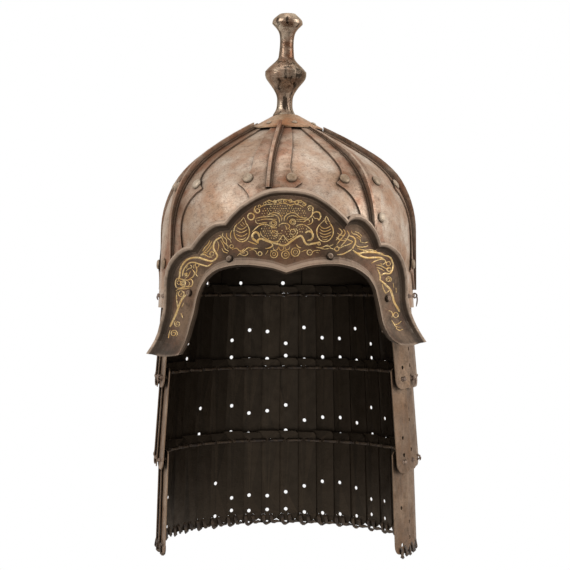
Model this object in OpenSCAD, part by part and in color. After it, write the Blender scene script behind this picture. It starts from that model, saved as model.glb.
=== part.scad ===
// Multi-plate iron helmet: a bowl of riveted plates under cusped, ridged straps, a crown cap with a
// turned finial, a cusped brow plate, and a laced lamellar curtain of three rows round sides and nape.
// The origin is the centre of the bowl's rim, +Z is up, and the face looks along -Y.
// An azimuth of 0 degrees is the front, and azimuths grow towards +X.

/* [Bowl] */
// Outer radius of the bowl at its rim
rim_r = 111; // [106:0.5:117]
// Height of the leaning wall above the rim
wall_h = 65; // [62:0.5:68]
// Inward lean of the wall in degrees
wall_lean = 3; // [2:0.25:4]
// Radius of the shoulder in profile
shoulder_r = 81; // [78:0.5:84]
// Slope in degrees where the shoulder runs into the crown
crown_slope = 34.5; // [33:0.5:36]
// Radius of the crown in profile
crown_r = 330; // [310:5:350]
// Radius of the opening that the plates leave at the top
crown_hole_r = 9; // [8:0.5:11]
// Thickness of a bowl plate
plate_t = 1.5; // [1.2:0.1:1.8]
// Angle in degrees left open between two plates, under their strap
plate_joint = 0.5; // [0.3:0.1:0.9]
// Half width of the face cut-out in the rim
face_w = 75; // [70:0.5:76]
// Height of the face cut-out
face_h = 36; // [32:0.5:36]
// Corner radius of the face cut-out
face_corner_r = 26; // [20:1:30]

/* [Straps] */
// Azimuth in degrees of the front strap
strap_turn = -8; // [-10:0.5:-6]
// Hand-made drift in degrees of a strap from its even place round the bowl
strap_drift = 4.5; // [3:0.5:5]
// Thickness of a strap's flange
strap_t = 1.2; // [1:0.1:1.4]
// Half width of a strap at the cap
strap_top_w = 7.5; // [6:0.5:8.5]
// Half width of a strap above its upper cusps
strap_neck_w = 15.5; // [14:0.5:16.5]
// Half width of a strap over its cusps
strap_cusp_w = 26; // [24:0.5:26.5]
// Half width of a strap at its waist
strap_waist_w = 11; // [9:0.5:12.5]
// Half width of a strap at its foot
strap_foot_w = 13; // [11:0.5:15]
// Height of the upper cusps
cusp_high_z = 103; // [101:0.5:104]
// Height of the lower cusps
cusp_low_z = 32; // [30:0.5:36]
// Height of a strap's lower end, above the rim lacing
strap_foot_z = 15; // [14.5:0.5:16]
// Height of a standing ridge above its flange, at the crown
ridge_h = 6; // [5:0.25:7]
// How much the ridges' height varies round the bowl
ridge_swing = 0.5; // [0.25:0.25:1]
// Height on the bowl above which a ridge has its full height
ridge_full_z = 110; // [105:1:115]
// Thickness of the standing ridge
ridge_t = 2.4; // [2:0.1:2.8]
// Half width of the ridge's thickened root
ridge_root_w = 2.7; // [2.3:0.1:3.1]
// Height of the ridge's thickened root
ridge_root_h = 1.6; // [1.2:0.1:2]

/* [Rivets] */
// Head radius of a strap rivet
rivet_head_r = 4.3; // [3.8:0.1:4.8]
// Head height of a strap rivet
rivet_head_h = 2.4; // [2:0.1:2.8]
// Shank radius of a strap rivet
rivet_shank_r = 1.8; // [1.5:0.1:2]
// Height of the upper strap rivets
rivet_high_z = 104.5; // [103.5:0.5:106]
// Height of the lower strap rivets
rivet_low_z = 37; // [36:0.5:40]
// Distance of a strap rivet from the strap's ridge
rivet_side = 17.5; // [16.5:0.5:18.5]
// Head radius of a cap rivet
cap_rivet_head_r = 2.2; // [1.9:0.1:2.6]
// Distance of the cap rivets from the helmet's axis
cap_rivet_at = 26.5; // [25:0.5:27.5]

/* [Crown and finial] */
// Radius of the crown cap at its edge
cap_r = 32; // [31:0.5:33]
// Rise of the crown cap from edge to neck
cap_rise = 12; // [11:0.5:13]
// Radius of the crown cap's neck
cap_neck_r = 10.5; // [10.25:0.25:11.5]
// Thickness of the crown cap
cap_t = 1.4; // [1.2:0.1:1.8]
// Height of the finial above the cap
finial_h = 88; // [84:0.5:94]
// Lean of the finial in degrees, to the wearer's left
finial_lean = 2; // [1:0.5:2.5]
// Distance of the finial's foot from the helmet's axis
finial_shift = 1.5; // [0.5:0.25:1.5]
// Radius of the finial's foot
finial_foot_r = 10; // [9.2:0.1:10]
// Radius of the finial's stem
finial_stem_r = 6.8; // [6.4:0.1:7.2]
// Radius of the finial's knop
finial_knop_r = 18; // [16:0.1:19]
// Radius of the finial's neck
finial_neck_r = 6; // [5.6:0.1:6.6]
// Radius of the finial's top button
finial_button_r = 13.3; // [12:0.1:14]
// Radius of the plume socket
socket_r = 2.5; // [2:0.1:3]
// Depth of the plume socket
socket_depth = 28; // [20:1:36]
// Radius of the tenon that holds the finial down
tenon_r = 5; // [4.5:0.1:5.5]
// Radius of the washer inside the crown
washer_r = 14; // [12.5:0.5:16]
// Thickness of the washer inside the crown
washer_t = 1.4; // [1:0.1:2]

/* [Brow plate] */
// Clear space between the bowl plates and the brow plate
brow_stand = 2.2; // [2.1:0.1:2.6]
// Thickness of the brow plate
brow_t = 1.8; // [1.6:0.1:2.2]
// Height of the turned upper border above the ground
brow_border_h = 5.5; // [4.5:0.25:6]
// Height of the turned lower border above the ground
brow_lip_h = 3.2; // [2.5:0.1:4]
// Width of the turned border
brow_border_w = 11; // [10:0.25:11.5]
// Outward flare of the wings, as the radius of its curve
brow_flare_r = 22.5; // [21:0.5:26]
// Mean height where the flare begins
brow_flare_z = -12; // [-13:0.5:-10]
// How much higher the flare begins on the wearer's left
brow_flare_rise = 11.5; // [10:0.5:12]

/* [Curtain] */
// Azimuth in degrees of the curtain's first edge
curtain_start = 56; // [54:0.5:58]
// Azimuth in degrees of the curtain's last edge
curtain_end = 295; // [293:0.5:297]
// Height of the first row's upper ends
row_top_z = 18.5; // [17.5:0.5:19]
// Length of a lamella
lamella_l = 86; // [84:0.5:88]
// Height that one row hangs below the last
row_pitch = 69; // [67.5:0.5:70.5]
// Outward lean of the first row in degrees
curtain_lean = 5; // [4.2:0.2:5.2]
// How much less the last row leans
lean_drop = 3; // [2:0.2:3.4]
// Thickness of a lamella
lamella_t = 0.9; // [0.8:0.1:1.2]
// How far a lamella reaches past the middle of its joint
side_lap = 3; // [2.6:0.1:3.2]
// Least clearance between two lamellae of a row
lamella_gap = 0.25; // [0.2:0.05:0.4]
// Least clearance between two rows
row_gap = 0.3; // [0.3:0.05:0.5]
// How far each row can ride up on its laces
row_travel = 6; // [4:0.5:6.5]
// Corner radius of a lamella's lower end
lamella_round_r = 8; // [6:0.5:9]
// Radius of a lacing hole
hole_r = 1.7; // [1.6:0.05:1.8]

/* [Laces] */
// Thickness of a leather thong
thong_t = 1.3; // [1:0.1:1.4]
// Width of a leather thong
thong_w = 2.2; // [1.8:0.1:2.3]
// Clearance between a thong and the iron
thong_gap = 0.3; // [0.2:0.05:0.4]
// Distance of a lace hole from the middle of its lamella
lace_side = 2.2; // [2:0.1:2.4]
// Height of the edging holes above a lamella's lower end
edging_z = 6; // [5:0.5:7]
// Distance of an edging hole from the middle of its lamella
edging_side = 3.6; // [3.4:0.1:3.7]

/* [Hidden] */
$fn = 48;
plate_n = 8;
lamella_n = 26;
row_n = 3;
groups = ["left_side", "nape", "right_side"];
group_first = [0, 9, 17];
group_last = [8, 16, 25];
strap_gap = 0.3;
seat_gap = 0.05;
fit_gap = 0.15;
tail_gap = 0.15;
skew = 35;
arc_steps = 6;
iron = [0.53, 0.45, 0.40];
dark_iron = [0.40, 0.34, 0.30];
lamella_iron = [0.46, 0.39, 0.34];
brow_iron = [0.36, 0.31, 0.25];
leather = [0.24, 0.17, 0.12];

// The plates' outer face in profile: a leaning wall, a shoulder arc and a flatter crown arc.
wall_top = [rim_r - wall_h * tan(wall_lean), wall_h];
shoulder_c = wall_top - shoulder_r * [cos(wall_lean), sin(wall_lean)];
crown_start = shoulder_c + shoulder_r * [sin(crown_slope), cos(crown_slope)];
crown_c = crown_start - crown_r * [sin(crown_slope), cos(crown_slope)];

function arc(c, r, from, to, steps) =
    [for (i = [0:steps]) c + r * [cos(from + (to - from) * i / steps), sin(from + (to - from) * i / steps)]];

function reversed(list) = [for (i = [len(list) - 1:-1:0]) list[i]];

// The profile moved outward by off, from the rim to the crown opening.
function meridian(off) = concat(
    [[rim_r + off / cos(wall_lean), 0]],
    arc(shoulder_c, shoulder_r + off, wall_lean, 90 - crown_slope, 12),
    [for (p = arc(crown_c, crown_r + off, 90 - crown_slope, acos((crown_hole_r - crown_c[0]) / (crown_r + off)), 5))
        if (p[0] < crown_start[0] - 1) p]);

// Radius of the plates' outer face at a height, and the tilt of its normal above the horizontal.
function bowl_r(z) =
    z < wall_h ? rim_r - z * tan(wall_lean) :
    z < crown_start[1] ? shoulder_c[0] + sqrt(shoulder_r * shoulder_r - pow(z - shoulder_c[1], 2)) :
    crown_c[0] + sqrt(crown_r * crown_r - pow(z - crown_c[1], 2));
function bowl_tilt(z) =
    z < wall_h ? wall_lean :
    z < crown_start[1] ? asin((z - shoulder_c[1]) / shoulder_r) : asin((z - crown_c[1]) / crown_r);

// Height of the profile moved outward by off, at a radius inside the crown.
function crown_z(r, off) = lookup(r, meridian(off));

// Each strap's share of the drift. The strap at the wearer's right temple stands furthest off its place.
strap_drift_shares = [0, 0.7, 1, 0.7, 0, -0.7, -0.4, -1.35];
function strap_az(i) = strap_turn + 360 / plate_n * i + strap_drift * strap_drift_shares[i % plate_n];
function side_angle(side, z) = asin(side / bowl_r(z));

// Turns to an azimuth: outward is then +X, and the tangent towards larger azimuths is +Y.
module at(az) rotate([0, 0, az - 90]) children();

// Stands on the bowl at an azimuth and height, raised by off, with +Z along the surface's normal.
module on_bowl(az, z, off)
    at(az)
        translate([bowl_r(z) + off * cos(bowl_tilt(z)), 0, z + off * sin(bowl_tilt(z))])
            rotate([0, 90 - bowl_tilt(z), 0])
                children();

module band(low, high) polygon(concat(meridian(high), reversed(meridian(low))));

// The curtain: each row is held clear inside the one above over its whole travel.
pitch_az = (curtain_end - curtain_start) / lamella_n;
lap = lamella_l - row_pitch;
mean_r = rim_r - plate_t - 3;
pitch_half = mean_r * tan(pitch_az / 2);
half_w = pitch_half + side_lap;
yaw = atan((lamella_t + lamella_gap + side_lap * tan(pitch_az)) / (2 * pitch_half));
reach_out = half_w * sin(yaw) + half_w * half_w / (2 * mean_r) + lamella_t / 2;
reach_in = mean_r * (1 - cos(yaw)) + lamella_t / 2;
first_row_r = rim_r - plate_t / cos(wall_lean) - reach_out - row_gap - (row_top_z + row_travel) * tan(curtain_lean);

function lamella_az(i) = curtain_start + pitch_az * (i + 0.5);
function row_top(k) = row_top_z - row_pitch * (k - 1);
function row_lean(k) = curtain_lean - lean_drop * pow((k - 1) / (row_n - 1), 2);
function row_r(k) = k == 1 ? first_row_r :
    row_r(k - 1) + (row_pitch - row_travel) * tan(row_lean(k - 1)) - reach_in - reach_out - row_gap;
function row_r_at(k, z) = row_r(k) + (row_top(k) - z) * tan(row_lean(k));
function lace_z(k) = row_top(k) - lap / 2;
function uneven(n) = sin(n * 137 + 40);

// Strap: a cusped flange on the plates with a standing ridge along its middle. The strap at the
// wearer's right temple has its upper cusps and their rivets lower than the others.
strap_drops = [0, 0, 0, 0, 0, 0, 0, 3];
// Degrees that a strap's edge turns through above an upper cusp.
cusp_bend = 65;

function skew_v(z, off) = z * cos(skew) - (bowl_r(z) + off) * sin(skew);

function strap_half(i) =
    let (top = crown_z(cap_r - 8, 0) * cos(skew) - (cap_r - 8) * sin(skew),
         high = skew_v(cusp_high_z - strap_drops[i], 0),
         low = skew_v(cusp_low_z, 0),
         foot = skew_v(strap_foot_z, 0),
         neck_r = (strap_cusp_w - strap_neck_w) / (1 - cos(cusp_bend)),
         neck = high + neck_r * sin(cusp_bend),
         side_r = (pow(top - neck, 2) + pow(strap_neck_w - strap_top_w, 2)) / (2 * (strap_neck_w - strap_top_w)),
         tip = 1,
         rise = (high - low) / 2 - tip,
         deep = strap_cusp_w - strap_waist_w,
         waist_r = (rise * rise + deep * deep) / (2 * deep),
         foot_r = min(strap_cusp_w - strap_foot_w, low - foot - 2))
    concat(
        [[strap_top_w, top]],
        [for (p = arc([strap_neck_w - side_r, neck], side_r, asin((top - neck) / side_r), 0, 5)) if (p[1] < top - 1) p],
        [for (p = arc([strap_neck_w + neck_r, neck], neck_r, 180, 180 + cusp_bend, arc_steps)) if (p[1] < neck - 0.1) p],
        arc([strap_waist_w + waist_r, (high + low) / 2], waist_r, 180 - asin(rise / waist_r), 180 + asin(rise / waist_r), 10),
        [for (p = arc([strap_foot_w + foot_r, low - foot_r], foot_r, 90, 180, arc_steps)) [min(p[0], strap_cusp_w), p[1]]],
        [[strap_foot_w, foot]]);

module strap_outline(i) {
    half = strap_half(i);
    polygon(concat(half, reversed([for (p = half) [-p[0], p[1]]])));
}

// Height below which a ridge would run under the brow plate, or the strap's foot.
function ridge_low(i) =
    let (az = strap_az(i) > 180 ? strap_az(i) - 360 : strap_az(i))
    abs(az) < brow_reach ? max(strap_foot_z, brow_top_z(az) + 2.5) : strap_foot_z;

// How much of its height a ridge has lost at the cap. The worn ones are on the wearer's left.
ridge_wear = [0, 0.75, 0.45, 0.2, 0, 0, 0, 0];

// The profile of a ridge's crest: it sinks into the flange towards the rim, and by its wear at the cap.
function ridge_share(z, wear) =
    min(1, max(0.12, z / ridge_full_z)) * (1 - wear * max(0, min(1, (z - ridge_full_z) / (cap_low - ridge_full_z))));
function ridge_crest(rise, wear) =
    let (root = meridian(strap_gap + strap_t), crest = meridian(strap_gap + strap_t + rise))
    [for (j = [0:len(root) - 1]) root[j] + (crest[j] - root[j]) * ridge_share(root[j][1], wear)];

module ridge(i, rise, w) {
    tall = 400;
    at(strap_az(i))
        difference() {
            rotate([90, 0, 0])
                linear_extrude(w, center = true)
                    polygon(concat(ridge_crest(rise, ridge_wear[i]), reversed(meridian(strap_gap + strap_t / 2))));
            cylinder(r = cap_r + 0.6, h = tall);
            translate([0, -w, ridge_low(i) - tall])
                cube([tall, 2 * w, tall]);
        }
}

module strap(i) {
    outer = strap_gap + strap_t;
    spread = 20;
    color(dark_iron)
        difference() {
            union() {
                at(strap_az(i))
                    intersection() {
                        rotate([0, 0, -spread])
                            rotate_extrude(angle = 2 * spread)
                                band(strap_gap, outer);
                        rotate([0, -skew, 0])
                            rotate([90, 0, 90])
                                translate([0, 0, rim_r / 2])
                                    linear_extrude(rim_r)
                                        strap_outline(i);
                    }
                ridge(i, ridge_h + ridge_swing * sin(360 / plate_n * i), ridge_t);
                ridge(i, ridge_root_h, 2 * ridge_root_w);
            }
            face_cut();
            strap_rivet_holes(i, -1);
            strap_rivet_holes(i, 1);
            if (i == 1) on_bowl(repair_az, repair_z, 0) hole(rivet_shank_r);
            if (abs(strap_az(i)) < brow_reach || strap_az(i) > 360 - brow_reach) brow_rivet_holes();
        }
}

// The face cut-out: straight sides and round upper corners.
module face_cut() {
    c = [face_w - face_corner_r, face_h - face_corner_r];
    right = concat([[face_w, -1]], arc(c, face_corner_r, 0, 90, arc_steps));
    rotate([90, 0, 0])
        translate([0, 0, 10])
            linear_extrude(2 * rim_r)
                polygon(concat(right, reversed([for (p = right) [-p[0], p[1]]])));
}

module hole(r) cylinder(r = r + seat_gap, h = 24, center = true);

// A round-headed rivet: the head stands on z = 0 and the tail is spread at -grip.
module rivet(head_r, head_h, shank_r, grip) {
    tail_r = shank_r * 1.5;
    tail_h = shank_r * 0.5;
    low = -grip - tail_gap;
    rotate_extrude()
        polygon([[0, low - tail_h], [tail_r * 0.7, low - tail_h], [tail_r, low - tail_h * 0.3], [tail_r, low],
            [shank_r, low], [shank_r, seat_gap], [head_r, seat_gap], [head_r, head_h * 0.3],
            [head_r * 0.88, head_h * 0.7], [head_r * 0.6, head_h * 0.94], [0, head_h]]);
}

// Which lower rivets are set: none under the brow plate.
function low_rivet(az) = let (a = az > 180 ? az - 360 : az) abs(a) > brow_reach + 2;

repair_az = strap_az(1) + 6;
repair_z = 74;

function rivet_az(i, side, z) = strap_az(i) + side * side_angle(rivet_side, z);

module strap_rivet_holes(i, side) {
    high_z = rivet_high_z - strap_drops[i];
    low = rivet_az(i, side, rivet_low_z);
    on_bowl(rivet_az(i, side, high_z), high_z, 0) hole(rivet_shank_r);
    if (low_rivet(low)) on_bowl(low, rivet_low_z, 0) hole(rivet_shank_r);
}

module bowl_plate(i) {
    from = strap_az(i) + plate_joint / 2;
    to = strap_az(i + 1) - plate_joint / 2;
    color(iron)
        difference() {
            rotate([0, 0, from - 90])
                rotate_extrude(angle = to - from)
                    band(-plate_t, 0);
            face_cut();
            strap_rivet_holes(i, 1);
            strap_rivet_holes((i + 1) % plate_n, -1);
            if (i == 1) on_bowl(repair_az, repair_z, 0) hole(rivet_shank_r);
            if (i == 0 || i == 1 || i == plate_n - 1 || i == plate_n - 2) brow_rivet_holes();
            cap_rivet_hole(i);
            for (n = [0:lamella_n - 1])
                if (lamella_az(n) > from - 4 && lamella_az(n) < to + 4)
                    for (side = [-lace_side, lace_side]) rim_hole(lamella_az(n), side, lace_z(1));
            for (az = rim_spare_az)
                if (az > from && az < to) rim_hole(az, 0, row_top_z + 2.5);
        }
}

// Azimuths of the rim's three unused holes at the nape.
rim_spare_az = [181.5, 203, 222];

module rim_hole(az, side, z)
    at(az)
        translate([rim_r, side, z])
            rotate([0, 90, 0])
                cylinder(r = hole_r, h = 12, center = true);

module strap_rivets(upper)
    color(dark_iron)
        for (i = [0:plate_n - 1])
            for (side = [-1, 1]) {
                z = upper ? rivet_high_z - strap_drops[i] : rivet_low_z;
                az = rivet_az(i, side, z);
                if (upper || low_rivet(az))
                    on_bowl(az, z, strap_gap + strap_t)
                        rivet(rivet_head_r, rivet_head_h, rivet_shank_r, strap_t + strap_gap + plate_t);
            }

module strap_rivets_upper() strap_rivets(true);
module strap_rivets_lower() strap_rivets(false);

module repair_rivet()
    color(dark_iron)
        on_bowl(repair_az, repair_z, strap_gap + strap_t)
            rivet(rivet_head_r * 0.95, rivet_head_h, rivet_shank_r, strap_t + strap_gap + plate_t);

// Crown cap: a cone that stands with its edge on the straps' upper ends.
cap_low = crown_z(cap_r - cap_t, strap_gap + strap_t) + seat_gap;
cap_high = cap_low + cap_rise;
cap_pitch = atan(cap_rise / (cap_r - cap_neck_r));

module crown_cap()
    color(dark_iron)
        difference() {
            rotate_extrude()
                polygon([[cap_r - cap_t, cap_low], [cap_r, cap_low], [cap_r, cap_low + cap_t],
                    [cap_neck_r, cap_high + cap_t], [tenon_r + fit_gap, cap_high + cap_t],
                    [tenon_r + fit_gap, cap_high], [cap_neck_r - 1, cap_high]]);
            for (i = [0:plate_n - 1]) cap_rivet_hole(i);
        }

function cap_rivet_az(i) = (strap_az(i) + strap_az(i + 1)) / 2;

module on_cap(i)
    at(cap_rivet_az(i))
        translate([cap_rivet_at, 0, cap_low + cap_t + (cap_r - cap_rivet_at) * tan(cap_pitch)])
            rotate([0, cap_pitch, 0])
                children();

module cap_rivet_hole(i) on_cap(i) hole(cap_rivet_head_r * 0.55);

module cap_rivets() {
    depth = cap_low + cap_t + (cap_r - cap_rivet_at) * tan(cap_pitch) - crown_z(cap_rivet_at, -plate_t);
    color(dark_iron)
        for (i = [0:plate_n - 1])
            on_cap(i)
                rivet(cap_rivet_head_r, cap_rivet_head_r * 0.55, cap_rivet_head_r * 0.55, depth * cos(cap_pitch) + 0.7);
}

// Finial: turned in one piece with its tenon, which is spread under the washer. Each stretch of the
// profile is a smooth curve through points of [radius, share of the height].
finial_foot_z = cap_high + cap_t + seat_gap;
finial_top_z = finial_foot_z + finial_h;
finial_top_x = finial_h * sin(finial_lean) - finial_shift;
finial_stretches = [
    [[finial_foot_r, 0], [finial_stem_r * 1.1, 0.055], [finial_stem_r, 0.115], [finial_stem_r * 1.08, 0.19],
        [finial_knop_r * 0.62, 0.27], [finial_knop_r * 0.92, 0.35], [finial_knop_r, 0.392]],
    [[finial_knop_r, 0.427], [finial_knop_r * 0.82, 0.47], [finial_knop_r * 0.44, 0.548],
        [finial_neck_r * 1.09, 0.61], [finial_neck_r, 0.74], [finial_neck_r * 1.28, 0.83], [finial_button_r, 0.905]],
    [[finial_button_r, 0.911], [finial_button_r * 0.92, 0.948], [finial_button_r * 0.54, 1]]];

// The leaning body, cut level at its foot and its top.
module finial_body()
    intersection() {
        translate([-finial_shift, 0, finial_foot_z])
            rotate([0, finial_lean, 0])
                rotate_extrude()
                    polygon(concat(
                        [[0, -1], [finial_foot_r, -1]],
                        [for (stretch = finial_stretches) each
                            let (steps = 3 * (len(stretch) - 1))
                            [for (j = [0:steps]) let (p = through(stretch, j / steps)) [p[0], p[1] * finial_h]]],
                        [[finial_button_r / 2, finial_h + 1], [0, finial_h + 1]]));
        translate([-2 * cap_r, -2 * cap_r, finial_foot_z]) cube([4 * cap_r, 4 * cap_r, finial_h]);
    }

module finial() {
    peen_z = washer_low - seat_gap;
    peen_r = tenon_r + 1.8;
    color(dark_iron)
        difference() {
            union() {
                finial_body();
                rotate_extrude()
                    polygon([[0, peen_z - 2.2], [tenon_r, peen_z - 2], [peen_r, peen_z - 0.8], [peen_r, peen_z],
                        [tenon_r, peen_z], [tenon_r, finial_foot_z + 1], [0, finial_foot_z + 1]]);
            }
            translate([finial_top_x, 0, finial_top_z - socket_depth])
                cylinder(r = socket_r, h = socket_depth + 1);
        }
}

washer_high = crown_z(washer_r, -plate_t) - seat_gap;
washer_crest = crown_z(crown_hole_r, -plate_t) - seat_gap;
washer_low = washer_crest - washer_t;

module crown_washer()
    color(dark_iron)
        rotate_extrude()
            polygon([[tenon_r + fit_gap, washer_low], [crown_hole_r, washer_low], [washer_r, washer_high - washer_t],
                [washer_r, washer_high], [crown_hole_r, washer_crest], [tenon_r + fit_gap, washer_crest]]);

// Brow plate. On each side its two edges run from the middle to the wing's end through points of
// [azimuth, height]: three cusped lobes above, and below a small central point, an arch and the wing's
// inner edge. The left side is the wearer's right, and hangs lower.
brow_upper_left = [
    [[0, 96.9], [5.6, 96.3], [10.6, 93.5], [15.1, 88.7], [20.3, 81.6], [25.2, 71]],
    [[25.2, 71], [29.7, 70.2], [33, 66.9], [36.8, 61.3], [41.8, 51.3]],
    [[41.8, 51.3], [45, 50.8], [49, 47.8], [53, 43], [56.4, 36.5], [58.2, 29], [58.4, 18], [58.2, 6], [59, -4],
        [61, -13], [62.8, -22], [63.7, -30], [63.3, -37]]];
brow_lower_left = [
    [[0, 27.5], [5.1, 31], [9.9, 32.6], [14.7, 33.7], [19.7, 33.7]],
    [[19.7, 33.7], [24.9, 31.9], [29.4, 28.8], [32.7, 24]],
    [[32.7, 24], [35.5, 16], [37.3, 6.3], [38.2, -3.3], [39.8, -13.1], [41.2, -22.8], [41.6, -29.9], [41.8, -36.4]]];
brow_upper_right = [
    [[0, 96.9], [6.7, 95.9], [11.8, 93.1], [16.6, 87.6], [21.6, 79.7], [25.5, 72]],
    [[25.5, 72], [27.2, 75.2], [30.4, 76.3], [33.7, 74.3], [37, 68.7], [39.5, 62], [41.2, 54]],
    [[41.2, 54], [45.1, 54.2], [48.9, 51.5], [53, 46.7], [55.9, 39.8], [58, 30], [58.1, 18], [58, 8], [60, -2],
        [62.2, -9], [63.5, -16], [63.5, -22], [62.6, -27]]];
brow_lower_right = [
    [[0, 27.5], [6.2, 31.3], [11, 33.4], [15.9, 34.2], [21.1, 34.3]],
    [[21.1, 34.3], [26.4, 32.3], [30.7, 28.8], [34.3, 24]],
    [[34.3, 24], [37.2, 16], [38.3, 7.9], [39.4, -1.8], [40.2, -11.4], [40.7, -18.6], [41.5, -24.1], [43.5, -28]]];
brow_reach = 64;
brow_lobe_steps = [8, 8, 16];
brow_end_sag = 2.5;

function brow_top_z(az) =
    lookup(abs(az), [for (lobe = az < 0 ? brow_upper_left : brow_upper_right) for (p = lobe) p]);

// A smooth curve through points: t runs from 0 at the first to 1 at the last.
function through(points, t) =
    let (n = len(points) - 1,
         i = min(floor(t * n), n - 1),
         f = t * n - i,
         a = points[max(i - 1, 0)],
         b = points[i],
         c = points[i + 1],
         d = points[min(i + 2, n)])
    0.5 * (2 * b + (c - a) * f + (2 * a - 5 * b + 4 * c - d) * f * f + (3 * b - a - 3 * c + d) * f * f * f);

// Stations across the plate: [lower point, upper point, share of the way along the wing].
function brow_side(lower, upper) = [for (s = [0:2]) for (j = [0:brow_lobe_steps[s] - (s == 2 ? 0 : 1)])
    let (t = j / brow_lobe_steps[s]) [through(lower[s], t), through(upper[s], t), s == 2 ? t : 0]];
brow_stations = concat(
    [for (q = reversed(brow_side(brow_lower_left, brow_upper_left)))
        if (q[0][0] > 0.01) [[-q[0][0], q[0][1]], [-q[1][0], q[1][1]], q[2]]],
    brow_side(brow_lower_right, brow_upper_right));

// Across the plate: [distance from the edge, height] in each border, and shares of the ground between.
brow_low_rows = [[0, 0.7], [0.22, 1], [0.45, 0.75], [0.75, 0.2], [1, 0]];
brow_mid_rows = [[0.25, 0], [0.5, 0], [0.75, 0]];
brow_high_rows = [[1, 0], [0.78, 0.08], [0.58, 0.28], [0.4, 0.75], [0.25, 1], [0.1, 0.9], [0, 0.55]];
brow_rows = concat(brow_low_rows, brow_mid_rows, brow_high_rows);
brow_low_share = 0.65;

function brow_point(q, row, inner) =
    let (low = q[0],
         high = q[1],
         middle = len(brow_low_rows),
         upper = row >= middle + len(brow_mid_rows),
         x = brow_rows[row][0],
         border = brow_border_w / norm([(high[0] - low[0]) * rim_r * PI / 180, high[1] - low[1]]),
         lip = brow_low_share * border,
         v = upper ? 1 - x * border : row < middle ? x * lip : lip + x * (1 - border - lip),
         az = low[0] + (high[0] - low[0]) * v,
         sag = brow_end_sag * 4 * v * (1 - v) * pow(max(0, q[2] * 4 - 3), 2),
         z = low[1] + (high[1] - low[1]) * v - sag,
         lift = brow_rows[row][1] * (upper ? brow_border_h : brow_lip_h),
         h = inner ? max(lift - 0.4, 0) : brow_t + lift,
         flare = pow(max(0, brow_flare_z + sign(az) * brow_flare_rise / 2 - z), 2) / (2 * brow_flare_r),
         r = bowl_r(z) + brow_stand / cos(bowl_tilt(z)) + flare + h)
    [r * sin(az), -r * cos(az), z];

module brow_sheet() {
    n = len(brow_rows);
    m = len(brow_stations);
    side = n * m;
    points = concat(
        [for (q = brow_stations) for (row = [0:n - 1]) brow_point(q, row, false)],
        [for (q = brow_stations) for (row = [0:n - 1]) brow_point(q, row, true)]);
    faces = concat(
        [for (s = [0:m - 2]) for (row = [0:n - 2]) each
            let (a = s * n + row, b = a + 1, c = a + n, d = c + 1)
            [[a, b, d], [a, d, c], [a + side, d + side, b + side], [a + side, c + side, d + side]]],
        [for (s = [0:m - 2]) each
            let (a = s * n, c = a + n, e = a + n - 1, g = e + n)
            [[a, c, c + side], [a, c + side, a + side], [e, g + side, g], [e, e + side, g + side]]],
        [for (row = [0:n - 2]) each
            let (a = row, b = a + 1, c = (m - 1) * n + row, d = c + 1)
            [[a, b + side, b], [a, a + side, b + side], [c, d, d + side], [c, d + side, c + side]]]);
    polyhedron(points, faces);
}

brow_rivet_places = [[-23.4, 39.8], [17.9, 41.7], [-43.2, 12.5], [46, 8]];
brow_rivet_head_r = rivet_head_r * 0.64;

module brow_rivet_holes()
    for (p = brow_rivet_places) on_bowl(p[0], p[1], 0) hole(rivet_shank_r);

// The lip is cut back to a flat seat round each rivet's head.
module brow_plate()
    color(brow_iron)
        difference() {
            brow_sheet();
            brow_rivet_holes();
            for (p = brow_rivet_places)
                on_bowl(p[0], p[1], brow_stand + brow_t + 0.1)
                    cylinder(r = brow_rivet_head_r + 0.3, h = 3 * brow_border_h);
        }

module brow_rivets()
    color(dark_iron)
        for (p = brow_rivet_places)
            on_bowl(p[0], p[1], brow_stand + brow_t + 0.1)
                rivet(brow_rivet_head_r, rivet_head_h * 0.9, rivet_shank_r, brow_stand + brow_t + plate_t + 0.1);

// A lamella's frame: the origin is the middle of its upper end, x runs across it and y up it.
module on_lamella(k, i)
    at(lamella_az(i))
        translate([row_r(k), 0, row_top(k)])
            rotate([0, -row_lean(k), 0])
                rotate([0, 0, -yaw])
                    rotate([90, 0, 90])
                        children();

// Heights of a lamella's two unused holes below its upper end, row by row, and how much they vary.
open_high = [-47.5, -52, -55];
open_low = [-68.5, -71, -76];
open_high_swing = 8;
open_low_swing = 2;

// On the wearer's right only one lamella in four has unused holes.
function has_open_holes(k, i) = i < 17 || (i + k) % 4 == 0;

module lamella(k, i) {
    top_cut = 2.5;
    up = 0.9 * uneven(i + 7 * k);
    low = -lamella_l + 0.8 * uneven(3 * i + k);
    r = lamella_round_r;
    right = concat(
        [[half_w - r, low]],
        [for (p = arc([half_w - r, low + r], r, -90, 0, 5)) if (p[1] > low + 0.01) p],
        [[half_w, up - top_cut], [half_w - top_cut, up]]);
    linear_extrude(lamella_t, center = true)
        difference() {
            polygon(concat(right, reversed([for (p = right) [-p[0], p[1]]])));
            for (x = [-lace_side, lace_side]) {
                translate([x, -lap / 2]) circle(hole_r);
                if (k < row_n) translate([x, -lamella_l + lap / 2]) circle(hole_r);
            }
            if (k == row_n)
                for (x = [-edging_side, edging_side]) translate([x, -lamella_l + edging_z]) circle(hole_r);
            if (has_open_holes(k, i)) {
                translate([0, open_high[k - 1] + open_high_swing * uneven(i * i + k)]) circle(hole_r);
                translate([0, open_low[k - 1] + open_low_swing * uneven(i * i + 5 * k)]) circle(hole_r);
            }
        }
}

module lamellae(k, g)
    color(lamella_iron)
        for (i = [group_first[g]:group_last[g]])
            on_lamella(k, i) lamella(k, i);

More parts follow.
